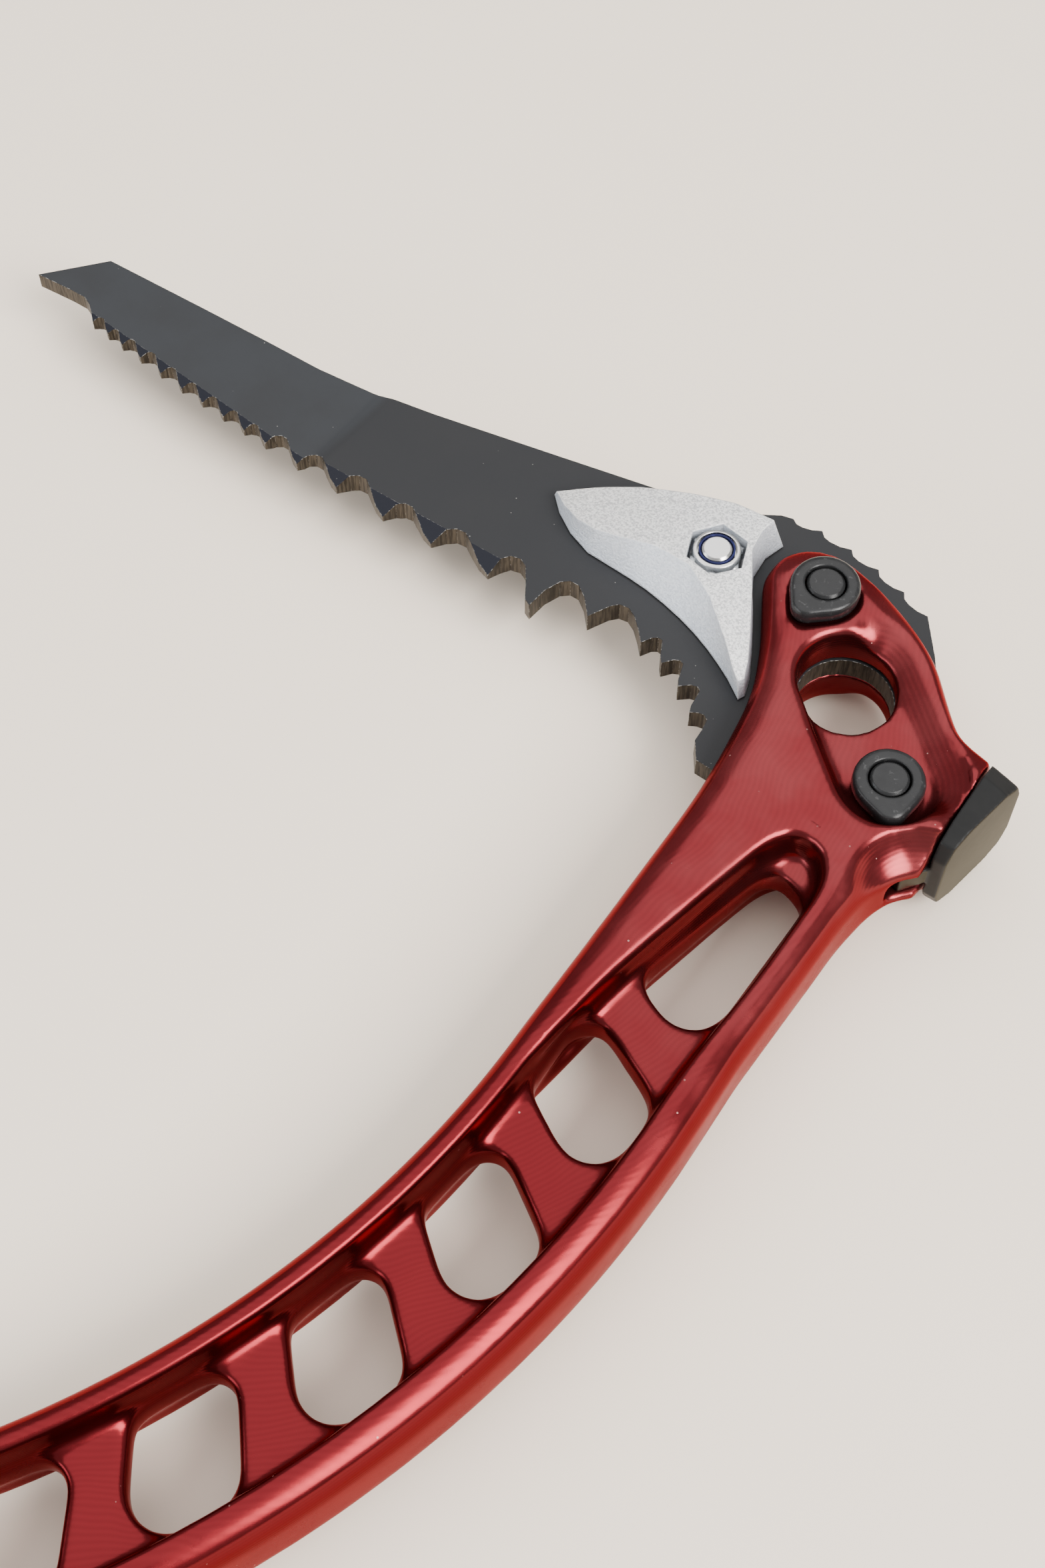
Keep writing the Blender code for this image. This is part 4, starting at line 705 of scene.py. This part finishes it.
def extent(node, direction):
    """The lowest and highest value of a node's points along a direction."""
    values = [v.co.dot(direction) for v in NODES[node].data.vertices]
    return min(values), max(values)


def squared(angle, half_a, half_b, power):
    """A point of a rounded rectangle: an ellipse at power 1, squarer below."""
    c = math.copysign(abs(math.cos(angle)) ** power, math.cos(angle))
    s = math.copysign(abs(math.sin(angle)) ** power, math.sin(angle))
    return half_a * c, half_b * s


def pad_height(along, length, angle):
    """Raised lozenge pads between two plain cuffs."""
    from_end = min(along, length - along)
    inner = smoothstep(from_end, CUFF, CUFF + PAD_FADE)
    row = angle / math.tau * PAD_ROWS
    column = (along - length / 2) / PAD_LENGTH
    a = abs((row + column) % 1.0 - 0.5) * 2
    b = abs((row - column) % 1.0 - 0.5) * 2
    groove = smoothstep(1.0 - max(a, b), 0.0, PAD_EDGE)
    lip = CUFF_LIP * (1.0 - smoothstep(from_end, CUFF - CUFF_FADE, CUFF))
    return PAD_HEIGHT * (groove - 1.0) * inner + lip


def mould_grip(name, node, material):
    """A sleeve on the core with rounded ends and lozenge pads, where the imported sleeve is."""
    start, end = extent(node, HANDLE_ALONG)
    low, high = extent(node, HANDLE_ACROSS)
    bottom, top = extent(node, UP)
    half_depth = (high - low) / 2
    half_thickness = (top - bottom) / 2 - CUFF_LIP
    centre = HANDLE_ACROSS * ((low + high) / 2) + Vector((0, 0, (top + bottom) / 2))
    length = end - start
    steps = round(length / GRIP_ALONG)
    mesh = bmesh.new()

    def ring(along, shrink, core=False):
        verts = []
        waist = GRIP_WAIST * math.sin(math.pi * along / length) ** 2
        for i in range(GRIP_AROUND):
            angle = math.tau * i / GRIP_AROUND
            if core:
                a, b = squared(angle, CORE_HALF_DEPTH, CORE_HALF_THICKNESS, CORE_SQUARENESS)
            else:
                lift = pad_height(along, length, angle) - shrink
                a, b = squared(angle, half_depth - CUFF_LIP - waist + lift, half_thickness + lift,
                               GRIP_SQUARENESS)
            verts.append(mesh.verts.new(centre + HANDLE_ALONG * (start + along) + HANDLE_ACROSS * a
                                        + Vector((0, 0, b))))
        return verts

    turns = [math.radians(turn) for turn in CUFF_TURNS]
    cuff = [(CUFF_ROUND * (1 - math.cos(math.pi / 2 - t)), CUFF_ROUND * (1 - math.cos(t))) for t in turns]
    middle = length - 2 * CUFF_ROUND
    rings = [ring(0.0, 0.0, core=True)]
    rings += [ring(inset, shrink) for inset, shrink in cuff]
    rings += [ring(CUFF_ROUND + middle * i / steps, 0.0) for i in range(steps + 1)]
    rings += [ring(length - inset, shrink) for inset, shrink in reversed(cuff)]
    rings += [ring(length, 0.0, core=True), rings[0]]
    for a, b in zip(rings, rings[1:]):
        for i in range(GRIP_AROUND):
            k = (i + 1) % GRIP_AROUND
            mesh.faces.new((a[i], a[k], b[k], b[i]))
    bmesh.ops.recalc_face_normals(mesh, faces=mesh.faces)
    data = bpy.data.meshes.new(name)
    mesh.to_mesh(data)
    mesh.free()
    stand_in(add_object(name, data), material, "axe", node)


RUBBER = grip_rubber()
mould_grip("moulded_upper_grip", "upper_grip", RUBBER)
mould_grip("moulded_lower_grip", "lower_grip", RUBBER)

# Floor and light
FLOOR_HALF = 3.0
FLOOR_DARK = (0.95, 0.82, 0.685)
FLOOR_LIGHT = (0.97, 0.86, 0.735)
FLOOR_CLOUD = 60 * MM
SKY_COLOUR = (1.0, 0.985, 0.965, 1.0)
SKY_STRENGTH = 0.52
# Each light's name, place, aim, size, power and colour
SOFTBOXES = (
    ("overhead", (-0.25, 0.25, 1.5), (0.0, 0.1, 0.0), (2.4, 2.4), 34.0, (1.0, 0.985, 0.965)),
    ("key", (1.05, 0.48, 1.0), (0.02, 0.1, 0.0), (0.8, 0.8), 36.0, (1.0, 0.975, 0.945)),
    ("fill", (-0.35, -1.25, 0.40), (0.01, 0.2, 0.0), (1.4, 0.6), 14.0, (0.93, 0.97, 1.0)),
)


def make_floor():
    corners = [(-FLOOR_HALF, -FLOOR_HALF, 0.0), (FLOOR_HALF, -FLOOR_HALF, 0.0), (FLOOR_HALF, FLOOR_HALF, 0.0),
               (-FLOOR_HALF, FLOOR_HALF, 0.0)]
    data = bpy.data.meshes.new("floor")
    data.from_pydata(corners, [], [(0, 1, 2, 3)])
    f = Finish("pale_floor", Roughness=0.65, IOR=1.4)
    data.materials.append(f.done(f.mix(f.noise(FLOOR_CLOUD, 3.0), FLOOR_DARK, FLOOR_LIGHT)))
    add_object("floor", data)


def softbox(name, place, aim, size, power, colour):
    light = bpy.data.lights.new(name, "AREA")
    light.shape = "RECTANGLE"
    light.size, light.size_y = size
    light.energy = power
    light.color = colour
    holder = add_object(name, light)
    holder.location = place
    holder.rotation_euler = (Vector(aim) - Vector(place)).to_track_quat("-Z", "Y").to_euler()


def make_light():
    world = bpy.data.worlds.new("studio")
    world.use_nodes = True
    sky = world.node_tree.nodes["Background"]
    sky.inputs["Color"].default_value = SKY_COLOUR
    sky.inputs["Strength"].default_value = SKY_STRENGTH
    bpy.context.scene.world = world
    for values in SOFTBOXES:
        softbox(*values)


make_floor()
make_light()
